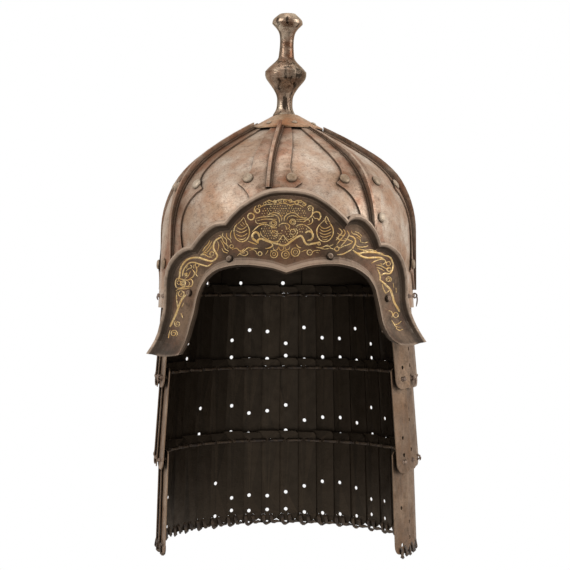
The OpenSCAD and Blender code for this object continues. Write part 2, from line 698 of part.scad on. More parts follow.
// Laces. Each stitch is a staple of thong whose two legs end in the space between the two layers.
module staple(near, far, half) {
    t = thong_t;
    s = sign(far - near);
    linear_extrude(thong_w, center = true)
        polygon([[near, -half - t / 2], [far, -half - t / 2], [far, half + t / 2], [near, half + t / 2],
            [near, half - t / 2], [far - s * t, half - t / 2], [far - s * t, -half + t / 2], [near, -half + t / 2]]);
}

// Inner face of the layer outside lacing line k, and outer face of row k there.
function outer_layer_in(k) = k == 1 ?
    bowl_r(lace_z(1)) - plate_t : row_r_at(k - 1, lace_z(k)) - lamella_t / 2;
function outer_layer_out(k) = k == 1 ?
    bowl_r(lace_z(1)) : row_r_at(k - 1, lace_z(k)) + lamella_t / 2 + lace_side * sin(yaw);
function meeting_r(k) = (outer_layer_in(k) + row_r_at(k, lace_z(k)) + lamella_t / 2) / 2;

module lace_outer(k)
    color(leather)
        for (i = [0:lamella_n - 1])
            at(lamella_az(i))
                translate([0, 0, lace_z(k)])
                    staple(meeting_r(k) + thong_gap / 2, outer_layer_out(k) + thong_gap + thong_t, lace_side);

module lace_inner(k) {
    r = row_r_at(k, lace_z(k));
    turn = pitch_az / 2 - atan(lace_side / r);
    color(leather)
        for (i = [0:lamella_n - 2])
            at(lamella_az(i) + pitch_az / 2)
                translate([0, 0, lace_z(k)])
                    staple(meeting_r(k) * cos(turn) - thong_gap / 2, r - reach_in - thong_gap - thong_t - 0.1, r * sin(turn));
}

// Edging: loops of thong round the lower ends of the last row.
module edging_lace() {
    near = lamella_t / 2 + thong_gap;
    far = near + thong_t;
    low = -lamella_l - 0.8;
    hole = -lamella_l + edging_z;
    color(leather)
        for (i = [0:lamella_n - 1])
            on_lamella(row_n, i)
                for (x = [-edging_side, edging_side])
                    translate([x, 0, 0])
                        rotate([0, -90, 0])
                            linear_extrude(thong_w, center = true)
                                difference() {
                                    translate([-far, low - thong_gap - thong_t])
                                        square([2 * far, hole + thong_t / 2 - low + thong_gap + thong_t]);
                                    translate([-near, low - thong_gap])
                                        square([2 * near, hole - thong_t / 2 - low + thong_gap]);
                                }
}

for (i = [0:plate_n - 1]) bowl_plate(i);
for (i = [0:plate_n - 1]) strap(i);
strap_rivets_upper();
strap_rivets_lower();
repair_rivet();
crown_cap();
cap_rivets();
finial();
crown_washer();
brow_plate();
brow_rivets();
lace_outer(1);  // rim_lace_outer
lace_inner(1);  // rim_lace_inner
for (k = [1:row_n]) for (g = [0:2]) lamellae(k, g);
lace_outer(2);  // row_1_lace_outer
lace_inner(2);  // row_2_lace_inner
lace_outer(3);  // row_2_lace_outer
lace_inner(3);  // row_3_lace_inner
edging_lace();
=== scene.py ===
# %% [markdown]
# # A multi-plate iron helmet in Blender
#
# The helmet is a bowl of eight iron plates under cusped straps, with a turned finial, a gilded brow plate
# and a curtain of laced iron lamellae round the sides and the nape. Its iron could be modelled again here,
# but the CAD model's shapes are right already. So they are loaded as a fixed frame, and Blender adds the
# iron's finishes, the leather and the gold.

# %% Load the frame
import math
import random

import bmesh
import bpy
import numpy
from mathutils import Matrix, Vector, noise
from mathutils.bvhtree import BVHTree


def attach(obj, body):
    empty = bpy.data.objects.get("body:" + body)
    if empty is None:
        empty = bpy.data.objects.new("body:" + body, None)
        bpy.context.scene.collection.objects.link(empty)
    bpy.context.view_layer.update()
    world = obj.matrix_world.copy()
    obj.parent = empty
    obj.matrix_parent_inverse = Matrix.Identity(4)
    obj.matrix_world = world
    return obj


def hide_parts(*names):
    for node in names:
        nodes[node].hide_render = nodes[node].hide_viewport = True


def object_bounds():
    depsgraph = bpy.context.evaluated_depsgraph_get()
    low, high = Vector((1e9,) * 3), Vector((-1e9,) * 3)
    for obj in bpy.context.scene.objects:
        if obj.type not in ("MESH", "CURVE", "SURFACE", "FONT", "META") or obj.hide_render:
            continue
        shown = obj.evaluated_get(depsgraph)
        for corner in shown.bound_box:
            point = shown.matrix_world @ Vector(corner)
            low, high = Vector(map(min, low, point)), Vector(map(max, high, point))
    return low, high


MM = 0.001
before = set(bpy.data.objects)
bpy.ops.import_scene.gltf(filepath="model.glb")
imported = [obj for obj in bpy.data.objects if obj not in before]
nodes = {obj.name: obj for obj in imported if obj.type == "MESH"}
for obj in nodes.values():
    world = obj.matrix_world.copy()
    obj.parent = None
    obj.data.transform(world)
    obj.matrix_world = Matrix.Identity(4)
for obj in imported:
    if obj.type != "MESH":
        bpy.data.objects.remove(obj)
cad_low, cad_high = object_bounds()
print("nodes:", len(nodes), "height in mm:", round((cad_high.z - cad_low.z) / MM, 1))

# %% [markdown]
# ## The camera
#
# The helmet is seen from straight in front, level with the brow plate's lower edge, so that the nape's
# inside shows between the front edges of the curtain. A longer lens from further back would frame it too,
# but would hide how far the wings reach forward.

# %% Make the camera
LENS = 86.9
CAMERA_PLACE = (-0.9 * MM, -1200 * MM, 19.2 * MM)
camera_data = bpy.data.cameras.new("camera")
camera_data.lens = LENS
camera = bpy.data.objects.new("camera", camera_data)
camera.location = CAMERA_PLACE
camera.rotation_euler = (math.radians(90), 0, 0)
bpy.context.scene.collection.objects.link(camera)
bpy.context.scene.camera = camera
print("camera at", camera.location)

# %% [markdown]
# ## Small tools for materials
#
# Colours are written as hex, as they look on a screen, and made linear by one function. Another adds a
# shader node, sets it and links its inputs. Nodes could be placed by hand in the editor, but in code each
# layer of a finish is one readable line.


# %% Define the colour and node tools
def linear(hex_colour):
    """A linear colour with alpha from sRGB hex such as "8a6b52"."""
    parts = [int(hex_colour[i : i + 2], 16) / 255 for i in (0, 2, 4)]
    return (*[p / 12.92 if p <= 0.04045 else ((p + 0.055) / 1.055) ** 2.4 for p in parts], 1)


def darker(hex_colour, share):
    """A linear colour brought down to a share of its light."""
    return [share * c for c in linear(hex_colour)[:3]] + [1]


def add(tree, kind, *values, inputs=None, **settings):
    """Adds a shader node. Each input, in order or by name, is a value, or a node or socket to link from."""
    made = tree.nodes.new("ShaderNode" + kind)
    for name, value in settings.items():
        setattr(made, name, value)
    for key, value in [*enumerate(values), *(inputs or {}).items()]:
        if isinstance(value, bpy.types.Node):
            value = next(socket for socket in value.outputs if socket.enabled)
        if isinstance(value, bpy.types.NodeSocket):
            tree.links.new(value, made.inputs[key])
        else:
            made.inputs[key].default_value = value
    return made


def new_material(name):
    """A material without nodes, and its tree."""
    material = bpy.data.materials.new(name)
    material.use_nodes = True
    material.node_tree.nodes.clear()
    return material, material.node_tree


def features(place, size_mm, detail, roughness, distortion=0):
    """The inputs of a noise whose features have a size in millimetres."""
    finer = {"Detail": detail, "Roughness": roughness, "Distortion": distortion}
    return {"Vector": place, "Scale": 1 / (size_mm * MM), **finer}


def layer(tree, under, over, pattern, low, high, share=1):
    """Lays a hex colour over another where a pattern passes from low to high, up to a share."""
    amount = add(tree, "MapRange", pattern, low, high, 0, share)
    return add(tree, "Mix", inputs={0: amount, 6: under, 7: linear(over)}, data_type="RGBA")


def weigh(tree, *parts):
    """The sum of patterns, each times its weight."""
    total = 0
    for pattern, weight in parts:
        total = add(tree, "Math", pattern, weight, total, operation="MULTIPLY_ADD")
    return total


print("tools ready")

# %% [markdown]
# ## Floor, backdrop and light
#
# The helmet stands before plain white. A white room would wash out the iron, so the world is white only to
# the camera and in reflections, and gives a softer grey light. A broad lamp from the upper left front is
# the main light, one from the right fills, and a weak one lights the crown.

# %% Set up the studio
WORLD_LEVEL = 0.5
FLOOR_DROP = 0.14
FLOOR_HALF = 6.0
WHITE = (1, 1, 1, 1)


def show_white(tree, shaded, white, output):
    """Sends white to camera, mirror and glass rays, and the shaded light to all others."""
    path = add(tree, "LightPath").outputs
    seen = add(tree, "Math", path["Is Camera Ray"], path["Is Glossy Ray"], operation="MAXIMUM")
    seen = add(tree, "Math", seen, path["Is Transmission Ray"], operation="MAXIMUM")
    add(tree, output, add(tree, "MixShader", seen, shaded, white))


def softbox(name, place, aim, size, power):
    """A square area lamp that looks at a point."""
    data = bpy.data.lights.new(name, "AREA")
    data.size = size
    data.energy = power
    lamp = bpy.data.objects.new(name, data)
    lamp.location = place
    lamp.rotation_euler = (Vector(aim) - Vector(place)).to_track_quat("-Z", "Y").to_euler()
    bpy.context.scene.collection.objects.link(lamp)


world = bpy.data.worlds.new("studio")
bpy.context.scene.world = world
world.use_nodes = True
tree = world.node_tree
tree.nodes.clear()
show_white(tree, add(tree, "Background", WHITE, WORLD_LEVEL), add(tree, "Background", WHITE), "OutputWorld")

softbox("key", place=(-1.5, -1.0, 1.3), aim=(0, 0, 0.06), size=1.0, power=21)
softbox("fill", place=(1.8, -0.4, 0.8), aim=(0, 0, 0), size=1.0, power=22)
softbox("top", place=(0.1, 0.1, 1.5), aim=(0, 0, 0.1), size=0.9, power=6)

floor_z = cad_low.z - FLOOR_DROP
floor_mesh = bpy.data.meshes.new("floor")
corners = [(x * FLOOR_HALF, y * FLOOR_HALF, floor_z) for x, y in ((-1, -1), (1, -1), (1, 1), (-1, 1))]
floor_mesh.from_pydata(corners, [], [(0, 1, 2, 3)])
floor = bpy.data.objects.new("floor", floor_mesh)
bpy.context.scene.collection.objects.link(floor)
floor_material, tree = new_material("floor_white")
shaded = add(tree, "BsdfPrincipled", inputs={"Base Color": linear("ececec"), "Roughness": 0.9})
show_white(tree, shaded, add(tree, "Emission", WHITE), "OutputMaterial")
floor.data.materials.append(floor_material)
bpy.context.scene.view_settings.view_transform = "Standard"
print("floor at", round(floor_z, 3))

# %% [markdown]
# ## Where iron wears, and painted shade in its hollows
#
# Hands rub iron pale where it stands proud. Hollows and the feet of steps are darkened as painted shade, with
# some grime. Both could be drawn on, but found from the shape they fit every piece: a bevelled normal that
# differs from the real one marks an edge, and ambient occlusion marks a hollow.


# %% Find edges and hollows
def crevice(tree, reach_mm):
    """1 deep in a hollow or beside a step of this height, and 0 in the open."""
    open_sky = add(tree, "AmbientOcclusion", inputs={"Distance": reach_mm * MM}, samples=8)
    return add(tree, "MapRange", open_sky.outputs["AO"], 0.93, 0.5)


def edge_wear_and_highlight(tree, normal, cloud, reach_mm, bend):
    """1 on edges that stand proud, broken up by clouds. A smaller bend also takes soft edges."""
    rounded = add(tree, "Bevel", reach_mm * MM, samples=6)
    turned = add(tree, "VectorMath", rounded, normal, operation="DOT_PRODUCT")
    edge = add(tree, "MapRange", turned, 1 - 0.04 * bend, 1 - bend)
    return add(tree, "Math", edge, add(tree, "MapRange", cloud, 0.35, 0.6, 0.35, 1), operation="MULTIPLY")


def inner_face(tree, place, normal, colour, inside):
    """Darkens the faces that look at the helmet's axis."""
    level = add(tree, "VectorMath", place, (1, 1, 0), operation="MULTIPLY")
    outward = add(tree, "VectorMath", level, operation="NORMALIZE")
    tone = add(tree, "NewGeometry").outputs["Random Per Island"]
    shade = add(tree, "Mix", inputs={0: tone, 6: linear(inside), 7: darker(inside, 0.45)}, data_type="RGBA")
    facing = add(tree, "VectorMath", outward, normal, operation="DOT_PRODUCT")
    inner = add(tree, "MapRange", facing, 0.1, -0.4)
    return add(tree, "Mix", inputs={0: inner, 6: colour, 7: shade}, data_type="RGBA")


print("wear tools ready")

# %% [markdown]
# ## The border of the brow plate
#
# The plate's border is beaten up into a lip. Its crest and outward faces are painted pale as highlight, and
# its inner slope is painted dark as shade. An edge finder misses such a soft lip, so the material works out
# which way a face leans, and how far it stands out from the plate's plain field.

# %% Follow the brow plate's border
# In millimetres, but for the lean: the share of its height by which the wall leans in
PLATE_RADIUS = 108
FIELD_RADIUS = 115
WALL_LEAN = 0.0524
SHOULDER_START = 65
SHOULDER_RADIUS = 81
FLARE_START = -12
FLARE_RISE = 5.75
FLARE_RADIUS = 22.5
CREST = (3.6, 4.8)


def border_tilt(tree, place, normal):
    """How far a face turns away from the middle of the plate: above 0 outwards, below 0 inwards."""
    split = add(tree, "SeparateXYZ", place).outputs
    backwards = add(tree, "Math", split["Y"], -1, operation="MULTIPLY")
    turn = add(tree, "Math", split["X"], backwards, operation="ARCTAN2")
    across = add(tree, "Math", turn, PLATE_RADIUS * MM, operation="MULTIPLY")
    tangent = add(tree, "VectorMath", add(tree, "CombineXYZ", backwards, split["X"]), operation="NORMALIZE")
    sideways = add(tree, "VectorMath", tangent, inputs={"Scale": across}, operation="SCALE")
    upwards = add(tree, "CombineXYZ", 0, 0, split["Z"])
    away = add(tree, "VectorMath", sideways, upwards, operation="ADD")
    away = add(tree, "VectorMath", away, operation="NORMALIZE")
    return add(tree, "VectorMath", away, normal, operation="DOT_PRODUCT")


def curved_away(tree, length, radius):
    """How far a curve of this radius has left its straight line, and 0 before it starts."""
    past = add(tree, "Math", length, 0, operation="MAXIMUM")
    squared = add(tree, "Math", past, past, operation="MULTIPLY")
    return add(tree, "Math", squared, 2 * radius, operation="DIVIDE")


def border_lift(tree, place):
    """How far the plate stands out from its own field, in millimetres."""
    in_mm = add(tree, "VectorMath", place, inputs={"Scale": 1 / MM}, operation="SCALE")
    split = add(tree, "SeparateXYZ", in_mm).outputs
    level = add(tree, "VectorMath", in_mm, (1, 1, 0), operation="MULTIPLY")
    radius = add(tree, "VectorMath", level, operation="LENGTH")
    shoulder = add(tree, "Math", split["Z"], SHOULDER_START, operation="SUBTRACT")
    shoulder = curved_away(tree, shoulder, SHOULDER_RADIUS)
    wing = weigh(tree, (add(tree, "Math", split["X"], operation="SIGN"), FLARE_RISE), (split["Z"], -1))
    flare = curved_away(tree, add(tree, "Math", wing, FLARE_START, operation="ADD"), FLARE_RADIUS)
    stands = weigh(tree, (radius, 1), (split["Z"], WALL_LEAN), (shoulder, 1), (flare, -1))
    return add(tree, "Math", stands, FIELD_RADIUS, operation="SUBTRACT")


def lipped(tree, place, normal, cloud, hollow, colour, border, dark):
    """The plate's colour with its lip painted pale as highlight and its inner slope dark as shade, and the
    mask of its pale edges: painted highlight with some wear.
    """
    tilt = border_tilt(tree, place, normal)
    # Faces that turn outwards are painted pale as highlight, and faces that turn inwards dark as shade.
    colour = layer(tree, colour, border, tilt, 0.22, 0.55, 0.75)
    colour = layer(tree, colour, dark, tilt, -0.08, -0.3, 0.8)
    # The lip's crest is painted pale as highlight, broken up by clouds.
    crest = add(tree, "MapRange", border_lift(tree, place), *CREST, 0, 0.9)
    broken = add(tree, "MapRange", cloud, 0.3, 0.6, 0.45, 1)
    crest = add(tree, "Math", crest, broken, operation="MULTIPLY")
    colour = add(tree, "Mix", inputs={0: crest, 6: colour, 7: linear(border)}, data_type="RGBA")
    # Soft edges of the lip are painted pale as highlight, but not in hollows or on faces that turn inwards.
    edge = edge_wear_and_highlight(tree, normal, cloud, reach_mm=3.2, bend=0.06)
    edge = add(tree, "Math", edge, add(tree, "MapRange", hollow, 0.22, 0), operation="MULTIPLY")
    outer = add(tree, "MapRange", tilt, -0.35, -0.12)
    return colour, add(tree, "Math", edge, outer, operation="MULTIPLY")


print("border lip from", FIELD_RADIUS + CREST[0], "mm outwards")

# %% [markdown]
# ## Old iron
#
# The plates are forged iron under a thin brown oxide: cloudy, reddish where the rust is fresh, finely
# wrinkled, and darkened with painted shade along straps and rivets. A picture of rust would stretch and
# repeat on them, so one function layers noise, each layer at a real size.

# %% Layer the iron
# Sizes in millimetres, from broad tones down to grains of scale, which are drawn coarser than real to show
BLOTCH = 30
RUST_PATCH = 19
DENT = 15
CLOUD = 8
RUN = 5
WRINKLE = 3.6
GRAIN = 0.9
# How strongly a hollow is darkened with painted shade and grime, and the tint of the shine
HOLLOW_SHADE = 0.92
OXIDE_TINT = "f0dcc4"


def iron(name, base, pale, rust, dark, red=0.6, rub_and_highlight=0.7, reach=5.0, hammer=0.5, inside=None, metal=0.4,
         tones=0.0, drips=0.0, shine=0.0, border=None):
    """Patinated iron from four hex colours: base, rubbed metal, rust, and a dark one for stains and painted
    shade.

    red, rub and drips are shares of rust, pale edges and dark runs; the pale edges are wear, and on the
    brow's lip also painted highlight. tones sets off one plate from another, reach is how far the painted
    shade of hollows creeps in millimetres, and hammer is the depth of the dents.
    """
    material, tree = new_material(name)
    place = add(tree, "TexCoord").outputs["Object"]
    normal = add(tree, "NewGeometry").outputs["Normal"]
    moved = add(tree, "Mapping", inputs={"Vector": place, "Location": (0.3, 0.1, 0)})
    flattened = add(tree, "Mapping", inputs={"Vector": place, "Scale": (1, 1, 1.9)})
    blotch = add(tree, "TexNoise", inputs=features(place, BLOTCH, 4, 0.6))
    cloud = add(tree, "TexNoise", inputs=features(place, CLOUD, 5, 0.65))
    rusty = add(tree, "TexNoise", inputs=features(moved, RUST_PATCH, 5, 0.62))
    wrinkle = add(tree, "TexNoise", inputs=features(flattened, WRINKLE, 3, 0.6, 1.8))
    grain = add(tree, "TexNoise", inputs=features(place, GRAIN, 2, 0.6))
    colour = layer(tree, linear(base), pale, blotch, 0.4, 0.62)
    colour = layer(tree, colour, rust, rusty, 0.44, 0.64, red)
    colour = layer(tree, colour, dark, cloud, 0.55, 0.72, 0.5)
    colour = layer(tree, colour, dark, wrinkle, 0.5, 0.68, 0.5)
    colour = layer(tree, colour, dark, grain, 0.56, 0.72, 0.35)
    if drips:
        drawn_out = add(tree, "Mapping", inputs={"Vector": place, "Scale": (1, 1, 0.06)})
        run = add(tree, "TexNoise", inputs=features(drawn_out, RUN, 3, 0.6))
        colour = layer(tree, colour, dark, run, 0.52, 0.6, drips)
    if tones:
        tone = add(tree, "NewGeometry").outputs["Random Per Island"]
        colour = layer(tree, colour, dark, tone, 0, 1, tones)
    hollow = crevice(tree, reach)
    if border:
        colour, edge = lipped(tree, place, normal, cloud, hollow, colour, border, dark)
    else:
        edge = edge_wear_and_highlight(tree, normal, cloud, reach_mm=1.1, bend=0.14)
    # Edges are laid pale: wear, and on the brow's lip painted highlight.
    colour = layer(tree, colour, border or pale, edge, 0, 1, rub_and_highlight)
    # Hollows and the feet of steps are darkened as painted shade, with some grime, and made rougher.
    hollow_shade = add(tree, "Math", hollow, HOLLOW_SHADE, operation="MULTIPLY")
    colour = add(tree, "Mix", inputs={0: hollow_shade, 6: colour, 7: darker(dark, 0.35)}, data_type="RGBA")
    if inside:
        colour = inner_face(tree, place, normal, colour, inside)
    rough = add(tree, "MapRange", cloud, 0.3, 0.7, 0.36 - shine, 0.58 - shine)
    dents = add(tree, "TexNoise", inputs=features(place, DENT, 2, 0.5))
    height = weigh(tree, (dents, hammer), (grain, 0.06), (wrinkle, -0.2), (cloud, -0.14))
    shader = {
        "Base Color": colour,
        "Metallic": metal,
        "Specular Tint": linear(OXIDE_TINT),
        "Roughness": weigh(tree, (rough, 1), (hollow_shade, 0.3)),
        "Normal": add(tree, "Bump", inputs={"Height": height, "Distance": 1.1 * MM, "Strength": 0.8}),
    }
    add(tree, "OutputMaterial", add(tree, "BsdfPrincipled", inputs=shader))
    return material


print("iron layers ready")

# %% [markdown]
# ## The finish of each iron piece
#
# Each kind of piece was forged and has aged in its own way. With one iron for all, the straps would sink
# into the plates, so each kind has its own colours and wear.

# %% Finish the iron pieces
INSIDE = "33291f"
# Hammered plate: russet and satin, pale where it has been handled
bowl_iron = iron("bowl_russet_iron", "9a806a", "b8a898", "93623f", "513d30", red=0.5, inside=INSIDE,
                 metal=0.42)
# Thicker straps: redder, with painted shade along the ridge
strap_iron = iron("strap_russet_iron", "80634f", "ad9784", "855033", "3c2a1c", red=0.7, reach=6.0,
                  inside=INSIDE, metal=0.5, shine=0.03)
# The cap: bright and rusty
cap_iron = iron("cap_russet_iron", "9a7659", "b59a7e", "a06136", "4c3826", inside=INSIDE)
# Rivet heads: rubbed smooth, in a thin ring of painted shade
rivet_iron = iron("rivet_iron", "86735f", "b3a390", "85603f", "42331f", red=0.3, reach=2.5, inside=INSIDE)
# The turned finial: nearly bare and glossy, with dark runs down its stem
finial_iron = iron("finial_bright_iron", "503b2d", "b9a893", "74452a", "1d140d", red=0.5, metal=0.75,
                   drips=0.9, shine=0.2)
# Lamellae: thin, dented and dull, each with a tone of its own
lamella_iron = iron("lamella_iron", "6f5847", "917862", "75502f", "34271b", red=0.5, hammer=0.7,
                    inside=INSIDE, tones=0.4)
# The brow plate: blackened as a ground for its gold, its border lip painted pale as highlight and dark as
# shade
brow_iron = iron("brow_dark_iron", "35261b", "6e5744", "613c28", "180f08", red=0.55, rub_and_highlight=0.8, reach=8.0,
                 border="a58f7c", metal=0.3)

# The longest start that fits a node's name gives its finish
FINISHES = {
    "bowl_plate": bowl_iron,
    "strap_": strap_iron,
    "crown": cap_iron,
    "cap_rivets": rivet_iron,
    "strap_rivets": rivet_iron,
    "repair_rivet": rivet_iron,
    "brow_": brow_iron,
    "finial": finial_iron,
    "": lamella_iron,
}
for name, obj in nodes.items():
    start = max([start for start in FINISHES if name.startswith(start)], key=len)
    obj.data.materials.clear()
    obj.data.materials.append(FINISHES[start])
print("iron pieces finished:", len(nodes))

# %% [markdown]
# ## Leather thongs
#
# The rows of the curtain hang on leather thongs. The CAD model holds each stitch as a plain staple, which
# marks its two holes and the space it may take. Simulated string would be slow, and a round tube would look
# like wire. So each staple becomes a flat strip swept along a short smooth path.

# %% Define a thong
SECTION = [(-1, -0.4), (-0.75, -1), (0.75, -1), (1, -0.4), (1, 0.4), (0.75, 1), (-0.75, 1), (-1, 0.4)]
THONG_THICK = 1.1 * MM
THONG_WIDE = 2.3 * MM
HOLE_RADIUS = 1.58 * MM
# Half the thickness of a thong in the CAD model
CAD_THONG_HALF = 0.65 * MM
chance = random.Random(7)


def smooth(keys, steps):
    """Vectors on a smooth curve through the keys."""
    last = len(keys) - 1
    made = []
    for i in range(last):
        a, b, c, d = keys[max(i - 1, 0)], keys[i], keys[i + 1], keys[min(i + 2, last)]
        for j in range(steps):
            f = j / steps
            squared = (2 * a - 5 * b + 4 * c - d) * f**2
            cubed = (3 * b - a - 3 * c + d) * f**3
            made.append(0.5 * (2 * b + (c - a) * f + squared + cubed))
    return made + [keys[-1]]


def skin(bm, rings):
    """Joins rings of points into a closed skin."""
    count = len(rings[0])
    for low, high in zip(rings, rings[1:]):
        for j in range(count):
            bm.faces.new((low[j], low[(j + 1) % count], high[(j + 1) % count], high[j]))
    bm.faces.new(rings[0][::-1])
    bm.faces.new(rings[-1])


def sweep(bm, path, flats, wide=THONG_WIDE, thick=THONG_THICK, ends=1.0):
    """Adds a strip of leather, a little uneven in width. flats are its flat faces' directions."""
    rings = []
    last = len(path) - 1
    for i, p in enumerate(path):
        along = (path[min(i + 1, last)] - path[max(i - 1, 0)]).normalized()
        side = along.cross(flats[i]).normalized()
        up = side.cross(along)
        taper = ends if i in (0, last) else 1.0
        swell = taper * (1 + 0.07 * math.sin(i * 1.7 + p.x * 900))
        half_wide, half_thick = swell * wide / 2, taper * thick / 2
        rings.append([bm.verts.new(p + side * (a * half_wide) + up * (b * half_thick)) for a, b in SECTION])
    skin(bm, rings)


def plug(bm, start, end, sides=8):
    """Leather squeezed into a hole, from one point to another."""
    axis = (end - start).normalized()
    side = axis.cross(Vector((0, 0, 1))).normalized()
    up = side.cross(axis)
    turns = [2 * math.pi * j / sides for j in range(sides)]
    rings = []
    for share, swell in ((0, 0.72), (0.15, 1), (0.85, 1), (1, 0.72)):
        middle, radius = start.lerp(end, share), HOLE_RADIUS * swell
        rings.append([bm.verts.new(middle + (side * math.cos(a) + up * math.sin(a)) * radius) for a in turns])
    skin(bm, rings)


def piece_of(bm, name, body, material):
    """Makes bm a smooth object that rides on a body."""
    bmesh.ops.recalc_face_normals(bm, faces=bm.faces)
    mesh = bpy.data.meshes.new(name)
    bm.to_mesh(mesh)
    bm.free()
    mesh.materials.append(material)
    for face in mesh.polygons:
        face.use_smooth = True
    obj = bpy.data.objects.new(name, mesh)
    bpy.context.scene.collection.objects.link(obj)
    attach(obj, body)
    return obj


print("thong section of", len(SECTION), "points")

# %% [markdown]
# ## Reading the CAD stitches
#
# A typed list of the holes' places would go stale when a size changes. So they are read from the CAD: a
# node's mesh falls apart into its separate solids, which are put in order round the helmet.


# %% Read the solids of a node
def azimuth(point):
    """The angle in degrees round the helmet: 0 is the front, and it grows towards the wearer's left."""
    return math.degrees(math.atan2(point.x, -point.y)) % 360


def middle_of(points):
    """The mean of some points."""
    return sum(points, Vector()) / len(points)


def islands(node):
    """The separate solids of a CAD node as lists of points, in order of azimuth."""
    copy = bmesh.new()
    copy.from_mesh(nodes[node].data)
    bmesh.ops.remove_doubles(copy, verts=copy.verts, dist=0.01 * MM)
    seen, found = set(), []
    for start in copy.verts:
        stack, points = [start], []
        while stack:
            vert = stack.pop()
            if vert not in seen:
                seen.add(vert)
                points.append(vert.co.copy())
                stack += [edge.other_vert(vert) for edge in vert.link_edges]
        if points:
            found.append(points)
    copy.free()
    return sorted(found, key=lambda points: azimuth(middle_of(points)))


print("rim stitches outside:", len(islands("rim_lace_outer")))

# %% [markdown]
# ### The leather
#
# The thongs are old rawhide: dark and greasy in the bends, pale and dry where they stand proud. A plain
# brown would read as plastic, so cracked fibres break it up. Real fibres are too fine to show, so these
# are drawn coarser, half a millimetre apart.

# %% Make the leather
GREASE_SPOT = 3.5
FIBRE = 0.5


def leather(name, base, worn, dark):
    """Old thong leather with fibres, cracks and paler worn faces."""
    material, tree = new_material(name)
    place = add(tree, "TexCoord").outputs["Object"]
    spot = add(tree, "TexNoise", inputs=features(place, GREASE_SPOT, 4, 0.6))
    fibre = add(tree, "TexNoise", inputs=features(place, FIBRE, 3, 0.7))
    height = weigh(tree, (fibre, 0.5), (spot, 1))
    colour = layer(tree, linear(base), worn, spot, 0.4, 0.62)
    shader = {
        "Base Color": layer(tree, colour, dark, fibre, 0.5, 0.72, 0.8),
        "Roughness": add(tree, "MapRange", fibre, 0.3, 0.7, 0.5, 0.78),
        "Normal": add(tree, "Bump", inputs={"Height": height, "Distance": 0.35 * MM, "Strength": 0.8}),
    }
    add(tree, "OutputMaterial", add(tree, "BsdfPrincipled", inputs=shader))
    return material


thong_leather = leather("thong_leather", "5d4738", "8f7663", "2c2019")
# A darker copy for the inside stitches and the edging: its darkness is painted shade.
leather_with_painted_shade = leather("thong_leather_painted_shade", "33261c", "57442f", "150f0a")
print("leather ready")

# %% [markdown]
# ### The stitches between the rows
#
# Outside, a short stitch joins the two holes of one lamella. Inside, a longer one joins neighbouring
# lamellae. One stitch could be copied to all places, but real ones differ, so each is drawn from its own
# CAD staple: a few are slack, and a few are knotted.

# %% Stitch the rows
# How far the strip's middle and the ends of its legs lie inside the CAD staple
INSIDE_BRIDGE = 0.6 * MM
INSIDE_LEG = 0.1 * MM
# How far in millimetres a stitch may stand askew
TIP = 0.25
KNOT_RADIUS = 1.9 * MM


def staple_facts(points):
    """Centre, outward direction, tangent, leg distance, and smallest and largest radius of a staple."""
    centre = middle_of(points)
    outward = Vector((centre.x, centre.y, 0)).normalized()
    tangent = Vector((-outward.y, outward.x, 0))
    radii = [p.dot(outward) for p in points]
    sides = [(p - centre).dot(tangent) for p in points]
    half = max(sides) - CAD_THONG_HALF
    return centre, outward, tangent, half, min(radii), max(radii)


def stitch(bm, points, facing, slack):
    """One stitch, facing 1 outside or -1 inside. Returns its middle, outward direction and tangent."""
    centre, outward, tangent, half, low, high = staple_facts(points)
    bridge = high - INSIDE_BRIDGE if facing > 0 else low + INSIDE_BRIDGE
    leg_end = low + INSIDE_LEG if facing > 0 else high - INSIDE_LEG
    tip = chance.uniform(-TIP, TIP) * MM
    face = outward * facing
    keys, flats = [], []
    for side in (-1, 1):
        leg = [
            (half, leg_end, tangent * side),
            (half, bridge - facing * 1.0 * MM, tangent * side),
            (half - 0.3 * MM, bridge - facing * 0.2 * MM, (tangent * side + face).normalized()),
            (half - 1.1 * MM, bridge, face),
        ]
        for across, radius, flat in leg if side < 0 else leg[::-1]:
            lift = Vector((0, 0, centre.z + tip * side * across / half))
            keys.append(outward * radius + tangent * (side * across) + lift)
            flats.append(flat)
        if side < 0:
            keys.append(outward * (bridge + facing * slack) + Vector((0, 0, centre.z - 0.3 * slack)))
            flats.append(face)
    sweep(bm, smooth(keys, 2), smooth(flats, 2))
    for side in (-1, 1):
        foot = tangent * (half * side) + Vector((0, 0, centre.z + tip * side))
        plug(bm, foot + outward * leg_end, foot + outward * (bridge - facing * 0.8 * MM))
    return outward * (bridge + 0.4 * MM) + Vector((0, 0, centre.z)), outward, tangent


def knot(bm, place, outward, tangent, tail, steps=18):
    """A thong wound one and a half times round a stitch, whose end hangs down as a tail."""
    down = Vector((0, 0, -1))
    path, flats = [], []
    for j in range(steps + 1):
        turn = 3 * math.pi * j / steps
        away = -outward * math.cos(turn) - down * math.sin(turn)
        radius = KNOT_RADIUS * (1 + 0.12 * math.sin(2.3 * j))
        path.append(place + away * radius + tangent * (j / steps - 0.5) * 2.4 * MM)
        flats.append(away)
    for share in (0.15, 0.4, 0.7, 1.0):
        curl = outward * (KNOT_RADIUS + 0.5 * MM * math.sin(4 * share)) + tangent * (1.2 + share) * MM
        path.append(place + curl + down * share * tail)
        flats.append(outward)
    sweep(bm, path, flats, ends=0.5)


